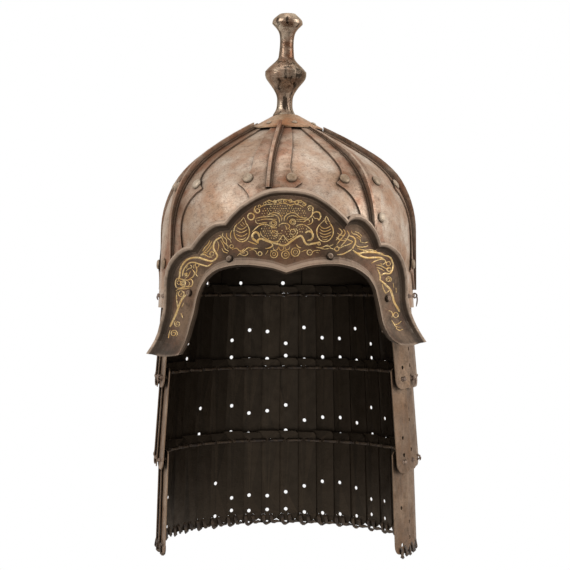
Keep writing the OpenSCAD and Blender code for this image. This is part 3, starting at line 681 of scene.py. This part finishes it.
# The body that each lace rides on, 1 outside or -1 inside, and its knotted stitches with their tails in mm
LACES = {
    "rim_lace_outer": ("helmet", 1, {3: 9.5, 22: 4}),
    "rim_lace_inner": ("row_1", -1, {}),
    "row_1_lace_outer": ("row_1", 1, {1: 6, 22: 4, 25: 3}),
    "row_2_lace_inner": ("row_2", -1, {}),
    "row_2_lace_outer": ("row_2", 1, {2: 3, 22: 4, 11: 5}),
    "row_3_lace_inner": ("row_3", -1, {}),
}
for node, (body, facing, tails) in LACES.items():
    bm = bmesh.new()
    for i, points in enumerate(islands(node)):
        slack = chance.choice((0.1, 0.2, 0.35, 0.9 if facing > 0 else 0.3)) * MM
        middle, outward, tangent = stitch(bm, points, facing, slack)
        if i in tails:
            knot(bm, middle, outward, tangent, tails[i] * MM)
    laced = piece_of(bm, "thong_" + node, body, thong_leather if facing > 0 else leather_with_painted_shade)
    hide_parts(node)
    print(node, "->", len(laced.data.vertices), "points")

# %% [markdown]
# ### The whipped lower edge
#
# Along the lower edge one thong runs through all the holes: slanting down the outside, under the edge and
# up the inside to the next hole. Separate rings would be easier, but the eye sees one winding strip. Each
# CAD loop gives its hole's frame, from where it is longest and shortest.

# %% Whip the lower edge
WHIP_WIDE = 3.3 * MM
WHIP_THICK = 1.15 * MM
PLUG_HALF = 0.9 * MM
# How far it passes from the middle of one lamella, and how much further where two overlap
EDGE_GAP = 1.35
LAP_GAP = 0.65
# How far the strip drops below the CAD loop under a lamella, and at a joint, where it stays higher
SCALLOP_DROP = (0.2, 0.8)
JOINT_DROP = (-1.9, -1.3)


def loop_frame(points):
    """Hole, edge point, and the outward and upward directions of one edging loop."""
    centre = middle_of(points)
    spread = numpy.array([p - centre for p in points])
    _, outward, up = (Vector(v) for v in numpy.linalg.eigh(spread.T @ spread)[1].T)
    outward = outward if outward.dot(Vector((centre.x, centre.y, 0))) > 0 else -outward
    up = up if up.z > 0 else -up
    reach = max((p - centre).dot(up) for p in points) - CAD_THONG_HALF
    return centre + up * reach, centre - up * reach, outward, up


def whip(start, end, joint):
    """One turn of the whipping, from a hole round the lower edge and up to the next hole."""
    hole_a, edge_a, out_a, up_a = start
    hole_b, edge_b, out_b, up_b = end
    off = (EDGE_GAP + (LAP_GAP if joint else 0)) * MM
    drop = chance.uniform(*(JOINT_DROP if joint else SCALLOP_DROP)) * MM
    out = (out_a + out_b).normalized()
    up = (up_a + up_b).normalized()
    keys = [
        hole_a,
        hole_a + out_a * 1.0 * MM - up_a * 0.3 * MM,
        hole_a.lerp(hole_b, 0.06) + out_a * 1.45 * MM - up_a * 1.8 * MM,
        edge_a.lerp(edge_b, 0.14) + out * off + up * 0.9 * MM,
        edge_a.lerp(edge_b, 0.48) - up * drop,
        edge_a.lerp(edge_b, 0.82) - out * off + up * (0.8 * MM - 0.5 * drop),
        hole_a.lerp(hole_b, 0.96) - out_b * 1.45 * MM - up_b * 1.7 * MM,
        hole_b - out_b * 1.0 * MM - up_b * 0.3 * MM,
        hole_b,
    ]
    twist = [(out - up * 0.5).normalized(), (-0.3 * up - out).normalized()]
    leaving = [up_a, (out_a + up_a).normalized(), out_a]
    coming = [-out, -out_b, (up_b - out_b).normalized(), up_b]
    return keys, leaving + twist + coming


frames = [loop_frame(points) for points in islands("edging_lace")]
bm = bmesh.new()
first_hole, _, first_out, first_up = frames[0]
last_hole, _, last_out, last_up = frames[-1]
keys, flats = [first_hole - first_out * 2 * MM], [first_up]
for i, (start, end) in enumerate(zip(frames, frames[1:])):
    more_keys, more_flats = whip(start, end, joint=i % 2 == 1)
    keys += more_keys[:-1]
    flats += more_flats[:-1]
keys += [last_hole, last_hole + last_out * 2 * MM]
flats += [last_up, last_up]
sweep(bm, smooth(keys, 2), smooth(flats, 2), wide=WHIP_WIDE, thick=WHIP_THICK)
for hole, _, out, _ in frames:
    plug(bm, hole - out * PLUG_HALF, hole + out * PLUG_HALF)
edging = piece_of(bm, "thong_edging", "row_3", leather_with_painted_shade)
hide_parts("edging_lace")
print("edging:", len(edging.data.vertices), "points")

# %% [markdown]
# ## Gold ornament
#
# The brow plate carries traditional ornament in gold, laid onto roughened iron: a horned mask between two
# flaming jewels, and a dragon on each wing. An image could be projected onto the plate, but its gold would
# have no thickness. So it is drawn in strokes on an upright plane in front of the brow, in millimetres from
# the middle and above the rim. A stroke is its width and then its points.


# %% Define the strokes
def spiral(width, x, z, radius, turns, inner_share=0.25):
    """A curl round x, z that winds in to a share of its radius. It starts at an angle of its own."""
    steps = max(6, int(turns * 10))
    points = []
    for i in range(steps + 1):
        share = i / steps
        reach = radius * (1 - share * (1 - inner_share))
        angle = 2 * math.pi * turns * share + x
        points.append((x + reach * math.cos(angle), z + reach * math.sin(angle)))
    return width, *points


def ring(width, x, z, radius):
    """A small closed curl."""
    return spiral(width, x, z, radius, 1, 1)


print("curl points:", len(ring(1, 0, 0, 1)) - 1)

# %% [markdown]
# ### The mask and its jewels
#
# The mask looks out under a crown of curls, with a jewel in flames at either side. No formula gives such a
# face, so its strokes are given one by one, as the smith's were.

# %% Draw the mask and its jewels
HORNED_MASK = [
    (1.1, (-23.5, 81.9), (-25, 79.8), (-25.2, 76.4)),
    ring(1.2, -27.8, 73.3, 2.6),
    ring(1, -22.6, 77.8, 1.7),
    (0.9, (-20.7, 80.7), (-16.3, 82.6), (-11.6, 83.1), (-6.8, 83.1), (-2.9, 83.8), (-0.1, 83.5), (3.3, 82.3),
     (6.6, 83.1), (10.5, 82.4), (13.8, 80.5)),
    (0.9, (-17.3, 84.3), (-13.5, 86.1), (-9.6, 84.9), (-5.8, 86.5), (-2, 86.9), (1.8, 86.2), (5.7, 84.9),
     (9.5, 86.1), (13.3, 84.9), (15.2, 82.6)),
    ring(0.8, -21, 81.3, 1.1),
    ring(0.8, -16.8, 83.5, 1.1),
    ring(0.8, -13.4, 85.3, 1.1),
    ring(0.9, -8.9, 85.1, 1.1),
    ring(0.8, -4.9, 85.3, 1),
    ring(0.9, -1, 85.3, 1.1),
    ring(0.9, 3.4, 85.6, 1.2),
    ring(0.9, 8.3, 84.5, 1.4),
    ring(0.8, 11.4, 85.3, 1.1),
    ring(0.9, 14.4, 83, 1.2),
    (1.2, (16.7, 80), (17.6, 81.4), (19.8, 81.7), (21.2, 80), (21, 77.9), (20.9, 75.5), (19.1, 72.6),
     (15.7, 70.2), (13.3, 68.8)),
    ring(0.7, 18.6, 79.1, 1.1),
    (1.3, (21.2, 75.5), (22.9, 76.9), (25.8, 76.7), (27.1, 74.5), (27, 72.1), (25.8, 70.2)),
    (1.8, (24.8, 71.9), (25.7, 70.4)),
    (0.9, (21, 73.8), (22.7, 71.9), (24.8, 71.9)),
    (0.9, (20.5, 71.9), (21, 69.7), (19.5, 67.6), (16.7, 66.8)),
    (0.8, (16.7, 70.9), (18.6, 70.2), (18.1, 68.5)),
    (0.8, (-24.5, 71.6), (-20.7, 72.7), (-16.3, 73.1), (-12.5, 73.5), (-9.6, 73.8)),
    (0.8, (-22.6, 70), (-17.3, 71.2), (-12.5, 71.2), (-7.3, 71.1)),
    (0.9, (-15.4, 74), (-11.6, 75.9), (-8.2, 76.4), (-5.3, 75), (-3.5, 72.1), (-3.9, 69.5)),
    (0.7, (-12.5, 74.7), (-9.2, 74.7), (-6.8, 73.5), (-5.6, 71.2), (-5.3, 68.5)),
    (0.9, (-24.1, 71.2), (-23.9, 68.8), (-21.6, 67.6), (-17.8, 68.3), (-14.9, 68.2)),
    (0.9, (-1.5, 69.7), (-1.3, 72.6), (0.9, 75), (4.7, 76.4), (8.1, 75.5), (10.5, 73.1), (14.3, 72.1),
     (16.7, 72.8)),
    (0.7, (0.6, 70.2), (1.4, 72.6), (4.2, 74), (7.6, 73.5), (9.7, 72.2)),
    (0.7, (7.6, 71.2), (11.4, 70.9), (14.3, 71.1), (17.2, 71.7)),
    (0.7, (8.1, 69.7), (11.4, 69.4), (14.3, 69.1)),
    spiral(0.8, -9.9, 68, 3, 2),
    spiral(0.8, 4.9, 69, 2.7, 2),
    (1, (-5.8, 65.4), (-4.8, 67.1), (-2, 68), (1.4, 67.3), (2.9, 65.4), (1.8, 63.5)),
    (0.8, (-1.1, 66.5), (0.2, 64.7), (0.8, 62.8)),
    (1, (-26.9, 61.1), (-24, 64), (-20.7, 66.4), (-16.8, 67.1), (-13.5, 66.3), (-10.6, 64.5), (-7.3, 64.5)),
    (1, (7.8, 65.4), (9.5, 66.5), (13.3, 67), (16.7, 65.4), (19.5, 63), (21.1, 60.6)),
    (0.8, (-20.2, 61.6), (-19.6, 58.7), (-16.3, 56.1), (-11.6, 53.7), (-7.7, 53.5), (-4.9, 55.1),
     (-3.4, 57.5)),
    (0.8, (-0.1, 56.8), (1.8, 55.1), (4.7, 56.2), (8.1, 58.7), (9, 61.6), (7.3, 63.7)),
    ring(0.7, -9.1, 59.9, 2.2),
    ring(0.8, 5.2, 61.1, 2.1),
    (2, (-21.2, 56.8), (-21.6, 59.4), (-23.9, 61), (-26.3, 59.2), (-26.5, 56.1), (-23.5, 53.7), (-22.1, 52)),
    (1.8, (-22.1, 52), (-22.1, 54.6), (-19.9, 55.7), (-16.8, 54.8), (-13.5, 53.4), (-9.6, 52.4),
     (-5.8, 51.4), (-2.2, 50.3), (0.9, 51.3), (4.7, 54.3), (8.3, 56.8), (11.6, 58.1), (13.4, 55.9),
     (14.8, 52.7), (17.2, 51.1), (21, 51.9), (24.3, 52.4), (27, 53.1)),
    (1.8, (16.7, 54.3), (19.6, 55), (21.1, 57.3), (20.4, 60.5), (17.6, 61.7), (15.1, 60.3)),
    (1.1, (-18.7, 54.8), (-15.4, 53.7), (-11.7, 52.3), (-10.6, 50.5), (-12.5, 48.8), (-16.3, 47.9)),
    (0.9, (-7.3, 52.5), (-4.8, 55.4), (-2.5, 58.7), (-0.5, 55.8), (1.8, 53.4)),
    (0.7, (-10.4, 49.6), (-10, 47.5), (-8.2, 46.7), (-6.5, 47.7), (-6.1, 49.6)),
    (0.7, (-5.6, 49.4), (-5.2, 47.2), (-3.7, 46.5), (-2.2, 47.4), (-1.7, 49.6)),
    (0.7, (-0.9, 49.6), (-0.6, 47.6), (1.1, 47), (2.6, 48.2), (2.9, 50.2)),
    (1.2, (7.8, 51.3), (9.7, 49.2), (11.9, 48.6)),
    ring(0.8, -9.6, 43.6, 2.9),
    ring(0.7, -9.6, 43.6, 1.3),
    ring(0.8, -0.6, 43.2, 3),
    ring(0.7, -0.3, 43.2, 1.2),
    ring(0.9, 7.3, 45.2, 3.3),
    ring(0.6, 7.3, 45.2, 1.6),
    (0.8, (7.3, 45.6), (7.5, 44.8)),
    ring(0.8, 18.6, 44.9, 2.1),
    (0.9, (18.5, 45.3), (18.7, 44.6)),
    ring(0.8, -20.7, 43.9, 1.6),
    (0.8, (-12.5, 45.8), (-11.6, 46.7)),
    (0.7, (-16.3, 43.4), (-14.9, 45.3), (-14.3, 46.7)),
    (1, (-30.2, 53.9), (-26.9, 52.5), (-23, 51.2)),
    (0.9, (-36.5, 46.5), (-33.6, 45.8), (-30.2, 48.6), (-26.9, 48.2), (-22.1, 48.2)),
    (0.8, (-36.5, 43.6), (-33.6, 42.4), (-31.1, 43), (-30.2, 44.8), (-32.1, 46.2)),
    (0.8, (-29.3, 46.3), (-26.4, 47.2), (-24, 45.8), (-23, 43.4)),
    (0.8, (11.9, 45.3), (14.3, 46.4), (16.7, 47)),
    (0.8, (20.7, 44.4), (21.7, 46), (23.9, 46.5), (26.8, 46.5)),
    (0.7, (23.6, 45.1), (25.8, 44.6)),
    (0.9, (23.4, 49.2), (27.2, 48.6), (30.6, 49.8), (32.9, 50.6), (35.3, 48.6)),
    ring(0.8, 26, 51.8, 1.1),
    (1, (27.3, 67.8), (24.9, 64.5), (24.2, 60.6), (25.5, 56.3), (28.6, 53.8), (32.5, 53.8), (35.8, 56.6),
     (37.2, 60.6), (36.5, 64.9), (34.3, 68.3)),
    (0.8, (31.5, 73.5), (31, 71.4), (29.4, 69.7), (27.4, 67.8)),
    (0.8, (31.5, 73.5), (32.9, 72.1), (33.5, 70.2), (34.9, 68.5)),
    (0.7, (29.8, 71.9), (31.5, 70.2), (30.8, 68.5)),
    (0.7, (32.5, 69.7), (31.5, 68.3), (32.9, 67.3)),
    (0.8, (26.7, 66.1), (28.2, 64.5), (30.6, 63.9), (33.4, 64.7), (35.3, 66.1)),
    (0.8, (26.5, 63.7), (28.2, 62.1), (30.8, 61.6), (33.7, 62.5), (35.7, 63.7)),
    (0.8, (26.3, 61), (28.2, 59.7), (30.8, 59.2), (33.7, 60.1), (35.8, 61.3)),
    (0.8, (26.7, 58.3), (28.6, 57.3), (30.8, 56.9), (33.4, 57.8), (35.3, 58.7)),
    (0.7, (28.2, 55.7), (30.6, 55), (32.9, 55.7)),
    (1, (-38.4, 67.8), (-40.8, 64.5), (-41.2, 60.6), (-39.8, 56.3), (-36.5, 53.5), (-33.1, 53.7),
     (-30.2, 56.3), (-29, 60.6), (-29.7, 64.9), (-31.9, 68.3)),
    (0.8, (-33.6, 72.6), (-35.5, 70.2), (-37.9, 67.8)),
    (0.8, (-33.6, 72.6), (-32.4, 70.2), (-31.7, 68)),
    (0.8, (-39.3, 65.4), (-36.9, 63.5), (-34.1, 63.5), (-31.2, 65.7)),
    (0.8, (-39.8, 62.5), (-36.9, 60.9), (-34.1, 61), (-30.7, 63)),
    (0.8, (-39.3, 59.2), (-36.5, 57.8), (-33.6, 58), (-30.7, 59.9)),
    (0.8, (-38.4, 56.1), (-36, 55.1), (-33.6, 55.4), (-31.9, 56.8)),
    (0.7, (-35, 69.2), (-33.6, 67.6), (-32.4, 66.4)),
    (0.7, (-36.5, 67.8), (-35, 66.1), (-33.6, 65.7)),
]
print("mask strokes:", len(HORNED_MASK))

# %% [markdown]
# ### The dragons
#
# A dragon climbs each wing, one long bend among smaller curls. One could mirror the other, but the real
# two differ.

# %% Draw the left dragon
LEFT_DRAGON = [
    (1.7, (-51.1, 57.1), (-55.2, 54.9), (-57.2, 51.5), (-57.3, 47.7), (-55.4, 44.5), (-54.4, 42),
     (-56.2, 39.4), (-59.3, 37.9), (-64.4, 39.2), (-69.4, 40.8), (-74.5, 40.6), (-78.9, 38.8), (-82, 35.1),
     (-83.8, 30.7), (-84.2, 26.3), (-85.3, 23.4)),
    (0.9, (-49.9, 60.6), (-50.2, 57.8), (-47.4, 55.3), (-47, 50.8)),
    (0.9, (-47, 60.3), (-46.9, 57.1), (-44.2, 54.6), (-43.3, 52.4)),
    (0.9, (-53, 58.7), (-51.1, 57.1), (-49.3, 53.1), (-46.1, 50.1), (-46, 47.7)),
    (0.8, (-51.8, 54.6), (-49.9, 51.5), (-48.3, 47.7), (-45.3, 45.8)),
    (0.8, (-50.8, 48.3), (-49.3, 45.5), (-46.1, 44.4)),
    (0.8, (-54.3, 54), (-53.2, 50.2), (-54.3, 45.8)),
    (1, (-60.3, 54.6), (-61.7, 51.5), (-64.1, 49), (-65.9, 46.1)),
    (0.9, (-58.8, 53.7), (-60.7, 50.1), (-63.2, 46.9), (-65.3, 44.9)),
    (0.9, (-58.4, 50.8), (-60, 47.7), (-62.5, 45.2), (-64.4, 44.9)),
    (0.9, (-58.1, 41.4), (-61.2, 41.4), (-64.4, 43.2), (-67.6, 42.8)),
    (0.8, (-67.4, 43.2), (-65, 44.4), (-61.9, 44.4)),
    ring(0.9, -58.7, 43.9, 1.6),
    (1.3, (-58.4, 36.5), (-61.9, 34.2), (-65.6, 34.8), (-69.4, 36), (-73.2, 37.1), (-76.8, 36.5),
     (-79.5, 33.7), (-81.4, 30.1), (-82, 26)),
    (0.9, (-75.7, 35.1), (-74.3, 33.2), (-77.5, 31.8), (-78.9, 30.1)),
    (2.2, (-80.4, 27.7), (-77.9, 28.5)),
    (1.8, (-80.1, 26.3), (-77.9, 27.2)),
    (0.9, (-74.5, 31.8), (-72.4, 28.8), (-73.7, 25.6), (-76.2, 24.3)),
    (1, (-71.9, 34.8), (-70.5, 31.3), (-71.4, 28), (-69.9, 26)),
    ring(0.9, -70.4, 34.8, 1.6),
    (0.8, (-75.4, 30.4), (-77.5, 26.3), (-80, 24.3)),
    (0.8, (-77.6, 34.3), (-78.9, 32.3)),
    (0.8, (-73.2, 35.1), (-72.9, 32.3)),
    (1.1, (-86.4, 24.5), (-87.7, 20.9), (-86.7, 17.3), (-83.1, 16.8), (-78.9, 18), (-75, 18.2),
     (-73.8, 21.2), (-75.2, 23.6), (-78.9, 23), (-82.6, 23.8), (-86.1, 24.3)),
    spiral(0.9, -81.3, 20.1, 2.6, 2),
    ring(0.8, -84.8, 21.1, 1.5),
    (0.8, (-77.9, 22.5), (-76.2, 20.3), (-77.5, 18)),
    (1, (-87.2, 14.6), (-84.5, 16.1), (-80, 16.2), (-76.2, 16.8)),
    (1.1, (-86, 14.2), (-86.7, 9.9), (-86.4, 6.1), (-86, 1.7)),
    ring(0.8, -82.9, 12.3, 2.3),
    (0.7, (-81.4, 14.3), (-83.3, 11.2)),
    (2, (-78.5, 11.9), (-81.7, 9), (-83.9, 4.9), (-85.8, -0.2), (-87.7, -5.2), (-90.2, -10.4),
     (-91.8, -13.9)),
    (0.7, (-80.8, 5.2), (-82.5, 1.7)),
    (0.7, (-83.1, -3), (-81.7, -6.5)),
    spiral(0.8, -85.9, -11.4, 2.6, 1.6),
    spiral(0.9, -88.8, -19.1, 3, 1.6),
    (0.9, (-91.6, -16.4), (-92.6, -19.6), (-93, -22.7)),
    (0.8, (-42.2, 63.1), (-44, 59.7), (-43.5, 55.6)),
    ring(0.8, -43.1, 49.7, 1.4),
    (0.8, (-42.6, 47.1), (-39.2, 48.3), (-36, 45.7), (-32.7, 48.2)),
    (0.8, (-38.5, 42.3), (-36, 44.4), (-32.5, 44.5)),
]
print("left strokes:", len(LEFT_DRAGON))

# %% [markdown]
# ### The right dragon
#
# It climbs the other wing and faces the left one, but its bends and leaves were laid by eye, as a
# goldsmith lays them. So its strokes are written out too, not mirrored in code.

# %% Draw the right dragon
RIGHT_DRAGON = [
    (1, (41.6, 64.3), (44.3, 61), (41.6, 57.7), (39.4, 54.5)),
    (1, (45.1, 63.4), (46.7, 60.3), (44.5, 56.9), (41.6, 53.4), (40, 51.1)),
    (1, (48.1, 62.1), (49.7, 59), (48, 55.6), (45.2, 51.9), (43, 49.6)),
    (0.9, (40.1, 60.6), (43, 58.5), (46.3, 58.5)),
    (0.9, (39.4, 57), (42.7, 54.8), (46.7, 54.5)),
    (1, (51.4, 62.1), (52.6, 59.8), (55.7, 59), (59.1, 56.1)),
    (0.9, (53.9, 61.5), (57.5, 60.1), (59.9, 57.6)),
    (1.5, (49.4, 58.3), (53.2, 56.9), (54.8, 54), (53.8, 50.5), (51.6, 47)),
    (1, (46.1, 56.1), (49.7, 54.7), (52.5, 53.2), (49, 51.1), (45.1, 49.8)),
    (1, (40, 50.3), (42.3, 48.5), (45.9, 50.3)),
    ring(0.9, 40, 47.7, 1.7),
    (0.8, (55.4, 57), (58.3, 55.2), (59.1, 52.7)),
    (1, (54.6, 51.2), (57.5, 49.3), (61.9, 49.3), (64.9, 50.3)),
    (1.1, (56.1, 48.3), (61.2, 46.7), (67, 46.9), (71.5, 45.8)),
    (0.8, (59, 53.2), (61.9, 52.5), (64.8, 53.2)),
    (1.8, (52.5, 46.9), (56.8, 44), (61.9, 45), (68.4, 45), (74.2, 44), (78, 42.4)),
    (1.8, (54.6, 45.5), (59.7, 41.8), (64.8, 40.6), (69.9, 40.9), (74.9, 40.6), (78.2, 38.7)),
    (1.6, (78, 42.4), (82.3, 40.9), (84.4, 36), (84.2, 31.6), (82.1, 28.3), (77.9, 28.3), (75.1, 26.9)),
    (1, (67.3, 36.3), (71.3, 38.5), (75.7, 39.5), (78.7, 38), (77.1, 35.8), (74.1, 35.8)),
    ring(1, 80.8, 36, 1.7),
    (1, (71, 35.1), (74.9, 34.4), (78.6, 32.3), (81.6, 32.3)),
    ring(1, 81.3, 31.5, 1.6),
    (1, (71.3, 33.1), (74.4, 32.2), (77.5, 30.3)),
    (1.4, (72.2, 31.6), (74.2, 27.1), (74.2, 22.8)),
    (2, (74.1, 23.3), (78.6, 19.3), (82.2, 15.7), (84.1, 10.6), (85.5, 5.5), (88, 1.2), (89.6, -1.9)),
    (1, (75.8, 20), (77.1, 15.7), (78.7, 12.4)),
    (0.9, (78.7, 12.6), (81.5, 14.9)),
    spiral(0.8, 80.8, 23.6, 2.5, 1.8),
    (0.6, (84.5, 20.7), (85, 17)),
    (0.6, (86.7, 17.1), (87, 13.3)),
    (0.9, (80, -1), (83.1, -1.7), (84.2, -4.6), (83.3, -6.5)),
    ring(0.9, 86.7, -4.6, 2),
    (0.9, (83.1, -8.3), (85.8, -11.9), (88.7, -11.3), (91.1, -9.1)),
    (0.8, (84.5, -10.5), (86.9, -13.7), (90.2, -14.1)),
    (0.8, (86.7, -14.9), (89.1, -16.6), (92.4, -15.7)),
    (1.2, (40.1, 43.2), (44.5, 43.5), (48.3, 45.4), (51.9, 47.4)),
    (0.8, (30.7, 50.5), (33.6, 49.6), (37.2, 51.2)),
    (0.8, (26.3, 48.3), (30.7, 47.6), (35.1, 48.3), (38.7, 46.9)),
]
print("right strokes:", len(RIGHT_DRAGON))

# %% [markdown]
# ### Laying the strokes onto the plate
#
# The goldsmith hammered wire and foil into the iron. A flat sheet of ornament could be bent over the plate,
# but it would slide over the border. So each stroke is projected along the line of sight, as a thin ribbon:
# its edges sink in by a hair, and its crown stands a fifth of a millimetre proud.

# %% Lay ribbons on the plate
PLANE_Y = -112.8 * MM
EYE = camera.location.copy()
CROWN = 0.22 * MM
SINK = 0.06 * MM
# In millimetres on the drawing plane
RIBBON_STEP = 0.7
plate = bmesh.new()
plate.from_mesh(nodes["brow_plate"].data)
plate_tree = BVHTree.FromBMesh(plate)


def on_plate(point, lift):
    """The place on the brow plate behind a drawn point, lifted off the iron, or None."""
    aim = Vector((point.x * MM, PLANE_Y, point.y * MM)) - EYE
    place, normal, _, _ = plate_tree.ray_cast(EYE, aim.normalized())
    if place is None:
        return None
    if normal.dot(aim) > 0:
        normal = -normal
    return place + normal * lift


def along(points):
    """Points a short step apart on a smooth curve through the given ones."""
    flat = smooth([Vector((x, z, 0)) for x, z in points], 6)
    made = [flat[0]]
    for p in flat[1:]:
        if (p - made[-1]).length > RIBBON_STEP:
            made.append(p)
    return [p.xy for p in made + [flat[-1]]]


def ribbon(bm, width, points):
    """Adds one stroke, tapered at both ends and a little uneven in width."""
    path = along(points)
    last = len(path) - 1
    rows = []
    for i, p in enumerate(path):
        heading = path[min(i + 1, last)] - path[max(i - 1, 0)]
        if heading.length < 0.01:
            continue
        across = Vector((-heading.y, heading.x)).normalized()
        taper = min(1, 0.45 + 0.55 * min(i, last - i) / 2.5)
        unevenness = 0.92 + 0.16 * noise.noise(Vector((p.x, p.y, 0)) * 0.9)
        half = 0.5 * width * taper * unevenness
        profile = ((-1, -SINK), (-0.5, CROWN), (0.5, CROWN), (1, -SINK))
        places = [on_plate(p + across * half * side, lift) for side, lift in profile]
        rows.append(None if None in places else [bm.verts.new(place) for place in places])
    for low, high in zip(rows, rows[1:]):
        if low and high:
            for j in range(3):
                bm.faces.new((low[j], low[j + 1], high[j + 1], high[j]))


bm = bmesh.new()
for width, *points in HORNED_MASK + LEFT_DRAGON + RIGHT_DRAGON:
    ribbon(bm, width, points)
print("ribbon points:", len(bm.verts))

# %% [markdown]
# ### The beaded grounds
#
# Between its lines the mask is filled with tiny gold dots. Dots in the material would be flat, so each is a
# low dome, in rows that shift by half a step, and moved a little by chance.

# %% Set the beads
DOTTED_GROUNDS = [
    [(-20.7, 74.5), (-17.3, 80.2), (-11.6, 82.1), (-5.8, 82.3), (-0.1, 82.4), (5.2, 81.4), (10.5, 80.7),
     (14.3, 78.3), (16.7, 74.5), (13.8, 72.8), (9.5, 74.5), (5.2, 77.1), (0.9, 75.9), (-2.5, 72.1),
     (-5.3, 75.9), (-9.6, 77.1), (-14.9, 75.5), (-18.3, 73.5)],
    [(-20.2, 63.5), (-17.3, 65.9), (-13.5, 64.9), (-9.6, 63.5), (-5.8, 61.6), (-2.9, 65.4), (-2.7, 59.2),
     (-5.3, 55.6), (-9.6, 54.4), (-14.9, 56.3), (-18.7, 59.2)],
    [(-1.3, 63.5), (2.8, 63.5), (6.6, 64.5), (9.5, 65.7), (13.8, 65.9), (16.7, 63.5), (13.8, 61.6),
     (9.5, 59.7), (6.6, 57.8), (1.8, 55.8), (-0.8, 58.2)],
    [(-5.3, 52.5), (-2.4, 56.8), (0.4, 53.4), (-2.5, 51.4)],
]
# In millimetres: the distance between beads, how far one may stray, its radii and its height
BEAD_PITCH = 1.9
BEAD_STRAY = 0.35
BEAD_RADII = (0.42, 0.6)
BEAD_HEIGHT = 0.4
BEAD_SIDES = 6


def bead(bm, centre, radius):
    """Adds one small gold dome."""
    top = on_plate(centre, BEAD_HEIGHT * MM)
    angles = [2 * math.pi * j / BEAD_SIDES for j in range(BEAD_SIDES)]
    rim = [on_plate(centre + Vector((math.cos(a), math.sin(a))) * radius, -SINK) for a in angles]
    if top is None or None in rim:
        return
    tip = bm.verts.new(top)
    verts = [bm.verts.new(place) for place in rim]
    for j in range(BEAD_SIDES):
        bm.faces.new((tip, verts[j], verts[(j + 1) % BEAD_SIDES]))


def inside_outline(point, outline):
    """Whether a point lies inside a closed outline."""
    inside = False
    for a, b in zip(outline, outline[1:] + outline[:1]):
        if (a[1] > point.y) != (b[1] > point.y):
            inside ^= point.x < (b[0] - a[0]) * (point.y - a[1]) / (b[1] - a[1]) + a[0]
    return inside


beads = 0
for outline in DOTTED_GROUNDS:
    xs, zs = [p[0] for p in outline], [p[1] for p in outline]
    for row in range(int((max(zs) - min(zs)) / BEAD_PITCH) + 1):
        for column in range(int((max(xs) - min(xs)) / BEAD_PITCH) + 1):
            shift = 0.5 * (row % 2)
            spot = Vector((min(xs) + (column + shift) * BEAD_PITCH, min(zs) + row * BEAD_PITCH))
            spot += Vector([chance.uniform(-BEAD_STRAY, BEAD_STRAY) for _ in range(2)])
            if inside_outline(spot, outline):
                bead(bm, spot, chance.uniform(*BEAD_RADII))
                beads += 1
plate.free()
print("beads:", beads)

# %% [markdown]
# ### Worn gold
#
# The gold is thin leaf and wire: warm and soft in its shine, pale where it is rubbed, and worn through to
# the iron in specks. Pure metal would mirror the white studio, so the metallic share is kept low.

# %% Gild the ornament
RUBBED_PATCH = 5
SPECK = 1.1


def worn_gold(name, gold, pale, bare):
    """Gold laid on iron, rubbed pale on top and worn through to the iron in places."""
    material, tree = new_material(name)
    place = add(tree, "TexCoord").outputs["Object"]
    rubbed = add(tree, "TexNoise", inputs=features(place, RUBBED_PATCH, 4, 0.6))
    speck = add(tree, "TexNoise", inputs=features(place, SPECK, 3, 0.7))
    colour = layer(tree, linear(gold), pale, rubbed, 0.4, 0.62)
    lost = weigh(tree, (speck, 0.7), (rubbed, 0.3))
    shader = {
        "Base Color": layer(tree, colour, bare, lost, 0.53, 0.6, 0.8),
        "Metallic": 0.55,
        "Roughness": add(tree, "MapRange", speck, 0.3, 0.7, 0.32, 0.55),
        "Normal": add(tree, "Bump", inputs={"Height": speck, "Distance": 0.15 * MM, "Strength": 0.6}),
    }
    add(tree, "OutputMaterial", add(tree, "BsdfPrincipled", inputs=shader))
    return material


gold = piece_of(bm, "gold_ornament", "helmet", worn_gold("worn_gold_inlay", "b08a4e", "ccb07c", "4a3722"))
print("gold points:", len(gold.data.vertices))
